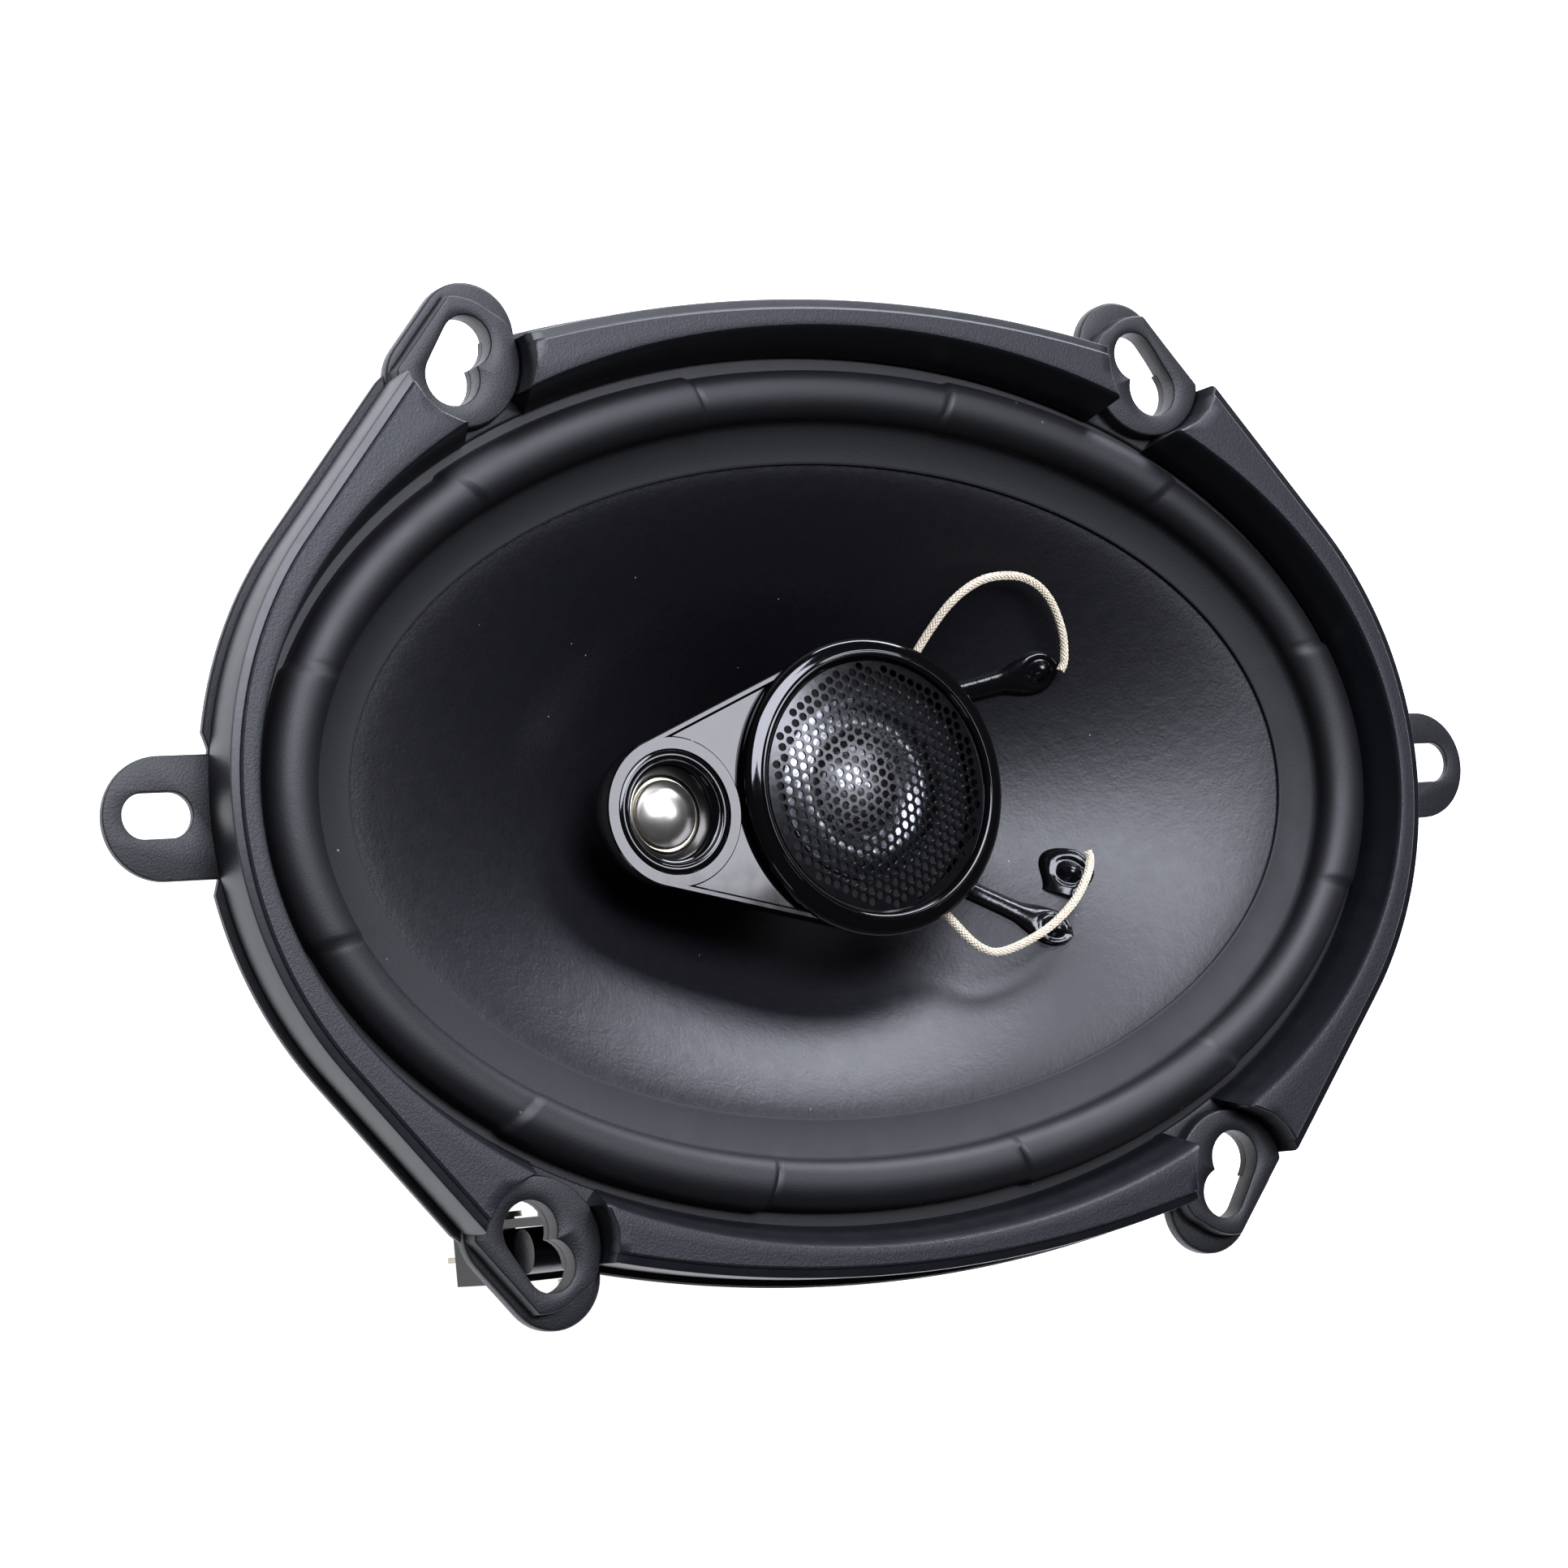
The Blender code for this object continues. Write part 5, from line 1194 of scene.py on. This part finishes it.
def grille_shape(centre):
    """Domed sheet with round holes in a close hexagonal pattern, its nearest holes one above the other."""
    points, faces, known = [], [], {}

    def vertex(x, y):
        radius = hypot(x, y)
        if radius > GRILLE_RADIUS:
            x, y = x * GRILLE_RADIUS / radius, y * GRILLE_RADIUS / radius
            radius = GRILLE_RADIUS
        key = (round(x, 3), round(y, 3))
        if key not in known:
            known[key] = len(points)
            turned = to_pod(x, y)
            height = GRILLE_EDGE_Z + GRILLE_RISE * (1 - (radius / GRILLE_RADIUS) ** 2)
            points.append((centre[0] + turned[0], centre[1] + turned[1], height))
        return known[key]

    columns = int(GRILLE_RADIUS / (HOLE_PITCH * sqrt(3) / 2)) + 2
    rows = int(GRILLE_RADIUS / HOLE_PITCH) + 2
    corner_reach = HOLE_PITCH / sqrt(3)
    turns = [pi * k / 6 for k in range(12)]
    for i in range(-columns, columns + 1):
        for j in range(-rows, rows + 1):
            x = i * HOLE_PITCH * sqrt(3) / 2
            y = (j + 0.5 * (i % 2)) * HOLE_PITCH
            if hypot(x, y) > GRILLE_RADIUS + corner_reach * 0.8:
                continue
            edge = []
            for k, angle in enumerate(turns):
                away = corner_reach if k % 2 == 0 else HOLE_PITCH / 2
                edge.append(vertex(x + away * cos(angle), y + away * sin(angle)))
            if hypot(x, y) < GRILLE_RADIUS - 0.7:
                hole = [vertex(x + HOLE_RADIUS * cos(a), y + HOLE_RADIUS * sin(a)) for a in turns]
                sides = [(edge[k], edge[(k + 1) % 12], hole[(k + 1) % 12], hole[k]) for k in range(12)]
            else:
                sides = [tuple(dict.fromkeys(edge))]
            faces += [side for side in (tuple(dict.fromkeys(s)) for s in sides) if len(side) > 2]
    return thickened(points, faces, 0.4)


def thickened(points, faces, thickness):
    """A sheet given a thickness downwards."""
    count = len(points)
    lower = [(x, y, z - thickness) for x, y, z in points]
    edges = {}
    for face in faces:
        for a, b in zip(face, face[1:] + face[:1]):
            edges[(a, b)] = edges.get((a, b), 0) + 1
    sides = [(b, a, a + count, b + count) for a, b in edges if (b, a) not in edges]
    return points + lower, faces + [tuple(i + count for i in face[::-1]) for face in faces] + sides


# ---- Motor, spider and terminals ----

def make_motor(zinc, ferrite):
    """Magnet between its plates, with chamfered rims, and the fasteners."""
    plate_top = BASE_TOP - SHEET - 0.3
    magnet_top = plate_top - 5.3
    back = -FLANGE
    yoke = back + 5.0
    frame_parts = {
        "magnet_ring": ([(21.6, magnet_top), (39.4, magnet_top), (40, magnet_top - 0.6), (40, yoke + 0.9),
                         (39.4, yoke + 0.3), (21.6, yoke + 0.3), (21, yoke + 0.9), (21, magnet_top - 0.6)],
                        ferrite, "ferrite", "magnet"),
        "front_plate": ([(14.0, plate_top), (37.5, plate_top), (38, plate_top - 0.5), (38, plate_top - 4.5),
                         (37.5, plate_top - 5), (14.0, plate_top - 5)], zinc, "zinc_plated_steel", "top_plate"),
        "pole_plate": ([(2.5, plate_top), (11.6, plate_top), (12.2, plate_top - 0.6), (12.2, yoke), (37.2, yoke),
                        (37.8, yoke - 0.3), (38, yoke - 0.9), (38, back + 0.9), (37.8, back + 0.3), (37.2, back),
                        (5.2, back), (4.8, back + 0.3), (4.7, back + 2.7), (2.5, back + 2.7)],
                       zinc, "zinc_plated_steel", "back_plate"),
    }
    for name, (profile, finish, slot, node) in frame_parts.items():
        make(name, lathe(profile), finish, "frame", [node])
    head = [(0, plate_top + 14), (2.2, plate_top + 14), (2.2, back + 2.4), (4.2, back + 2.4), (4.4, back + 2.2),
            (4.4, back + 0.7), (4.0, back + 0.25), (3.4, back + 0.1), (0, back + 0.1)]
    screw = blank("motor_screw", lathe(head))
    socket = blank("socket", rod((0, 0, back - 1), (0, 0, back + 1.4), 1.75, 6))
    carve(screw, [(socket, "DIFFERENCE")])
    settle(screw, [zinc], "frame", ["post_screw"])
    for n in range(4):
        dome = [(0, 1.1), (1.2, 1.0), (2.2, 0.75), (2.9, 0.35), (3.2, 0.0), (1.7, 0.0), (1.7, -3.7), (0, -3.7)]
        shape = lathe([(r, BASE_TOP + 0.3 + z) for r, z in dome], rivet_place(n), 40)
        make(f"base_rivet_{n + 1}", shape, zinc, "frame", [f"basket_rivet_{n + 1}"])


def make_spider(cloth, film, copper):
    """Corrugated cloth disc from the basket's seat to the former, and the coil on the former."""
    level = SHELF_Z + 0.8
    start_r, end_r = 13.2, SHELF[0] + 0.5
    top = [(start_r, level)]
    for i in range(1, 97):
        share = i / 96
        fade = min(1, 6 * (1 - share), 8 * share)
        top.append((start_r + (end_r - start_r) * share, level + 0.9 * sin(2 * pi * 5 * share) * fade))
    top.append((SHELF[1] - 0.7, level))
    shape = lathe(top + [(r, z - 0.5) for r, z in reversed(top)], steps=144)
    spider = make("spider_disc", shape, cloth, None, ["spider"], 60)
    weigh(spider)
    middle = BASE_TOP - SHEET - 0.3 - 2.5
    former = [(12.6, NECK_Z + 1), (12.9, NECK_Z + 1), (12.9, middle - 5.0), (12.6, middle - 5.0)]
    make("coil_former", lathe(former), film, "cone_assembly", ["voice_coil_former"])
    winding = [(13.0, middle + 4.5)]
    for i in range(36):
        z = middle + 4.5 - 0.25 * i
        winding += [(13.5, z - 0.03), (13.6, z - 0.125), (13.5, z - 0.22)]
    winding.append((13.0, middle - 4.5))
    make("coil_winding", lathe(winding), copper, "cone_assembly",
         ["voice_coil_winding"], 80)


def make_terminals(nylon, tin, sleeve):
    """Moulded block riveted to the tab, two blades with a hole each, and the small capacitor across them."""
    middle = sum(TAB_X) / 2
    face = TAB_Y - SHEET - 0.3
    top, bottom = -24.0, -36.0
    body = blank("terminal_body", block((middle - 9, face - 7.5, bottom), (middle + 9, face, top)))
    tools = []
    y = face - 3.75
    for name, node, offset, width in (
        ("wide_blade", "wide_terminal", -4.0, 4.8), ("narrow_blade", "narrow_terminal", 4.0, 2.8)
    ):
        x = middle + offset
        slot = block((x - width / 2 - 0.3, y - 0.7, bottom - 1), (x + width / 2 + 0.3, y + 0.7, bottom + 4.3))
        tools.append((blank(name + "_slot", slot), "DIFFERENCE"))
        blade = blank(name, block((x - width / 2, y - 0.4, bottom - 8), (x + width / 2, y + 0.4, bottom + 4)))
        hole = blank(name + "_hole", rod((x, y - 2, bottom - 4.5), (x, y + 2, bottom - 4.5), 0.75, 24))
        carve(blade, [(hole, "DIFFERENCE")])
        settle(blade, [tin], "frame", [node])
        soften(blade, 0.15)
    rivet_z = top - 2.6
    for n, x in enumerate((middle - 5, middle + 5)):
        hole = rod((x, face - 9, rivet_z), (x, face + 1, rivet_z), 1.6)
        tools.append((blank(f"rivet_way_{n}", hole), "DIFFERENCE"))
        outer, inner = face - 7.5 - 0.3, TAB_Y + 0.3
        shape = merged(
            rod((x, outer - 0.7, rivet_z), (x, inner + 0.7, rivet_z), 1.3),
            rod((x, outer - 0.8, rivet_z), (x, outer, rivet_z), 2.34),
            rod((x, inner, rivet_z), (x, inner + 0.8, rivet_z), 2.34),
        )
        rivet = make(f"block_rivet_{n + 1}", shape, tin, "frame", [f"terminal_rivet_{n + 1}"])
        soften(rivet, 0.2)
    carve(body, tools)
    settle(body, [nylon], "frame", ["terminal_block"])
    soften(body, 0.5, 3)
    y, z = face - 3.2, top + 4.2
    can = make("capacitor_can", rod((middle - 6, y, z), (middle + 6, y, z), 3.2, 48), sleeve, "frame",
               ["crossover_capacitor"])
    soften(can, 0.6, 3)


# ---- The whole speaker ----

set_camera()
set_studio()
steel = electrocoated_steel()
abs_plastic = polished_abs()
zinc = zinc_plate()
ferrite = sintered_ferrite()
copper = enamelled_copper()
film = silvered_film()
tin = tinned_brass()
nylon = glass_filled_nylon()
glue = lead_glue()
braid = tinsel_braid()

make_basket(steel)
for number, signs in enumerate(CORNERS):
    make_corner_ear(number, signs, steel)
make_end_ear("end_ear_right", 1, steel)
make_end_ear("end_ear_left", -1, steel)
make_trim(grained_polypropylene(), smooth_polypropylene())
make_surround(butyl_rubber(), band_rubber())
make_cone(pressed_paper_pulp())
make_pod(abs_plastic)
make_tweeters(abs_plastic, painted_perforated_steel(), film, chromed_dome_film())
make_motor(zinc, ferrite)
make_spider(resin_dipped_cotton(), polyimide_film(), copper)
make_terminals(nylon, tin, shrink_sleeve())
for name, spec in (("upper", UPPER_JOINT), ("lower", LOWER_JOINT), ("end", END_JOINT)):
    make(f"{name}_glue", glue_drop(spec), glue, "cone_assembly", [f"{name}_lead_joint"], 60)
for number, spec in enumerate(REAR_JOINTS):
    make(f"rear_glue_{number + 1}", glue_drop(spec, -1), glue, "cone_assembly",
         [f"rear_lead_joint_{number + 1}"], 60)
make_lead("upper_braid", UPPER_LEAD, braid, "upper_tinsel_lead")
make_lead("lower_braid", LOWER_LEAD, braid, "lower_tinsel_lead")
for number, route in enumerate(REAR_LEADS):
    make_lead(f"rear_braid_{number + 1}", route, braid, f"rear_tinsel_lead_{number + 1}")

# Nodes of the frame that keep their own shape
KEPT = {
    "tweeter_post": abs_plastic, "pod_screw": zinc, "tweeter_frame": nylon, "tweeter_coil": copper,
    "tweeter_motor_cup": zinc, "tweeter_magnet": ferrite, "tweeter_pole_cap": zinc, "super_tweeter_piezo": tin,
}
for name, finish in KEPT.items():
    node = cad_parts[name]
    node.data.materials.clear()
    node.data.materials.append(finish)
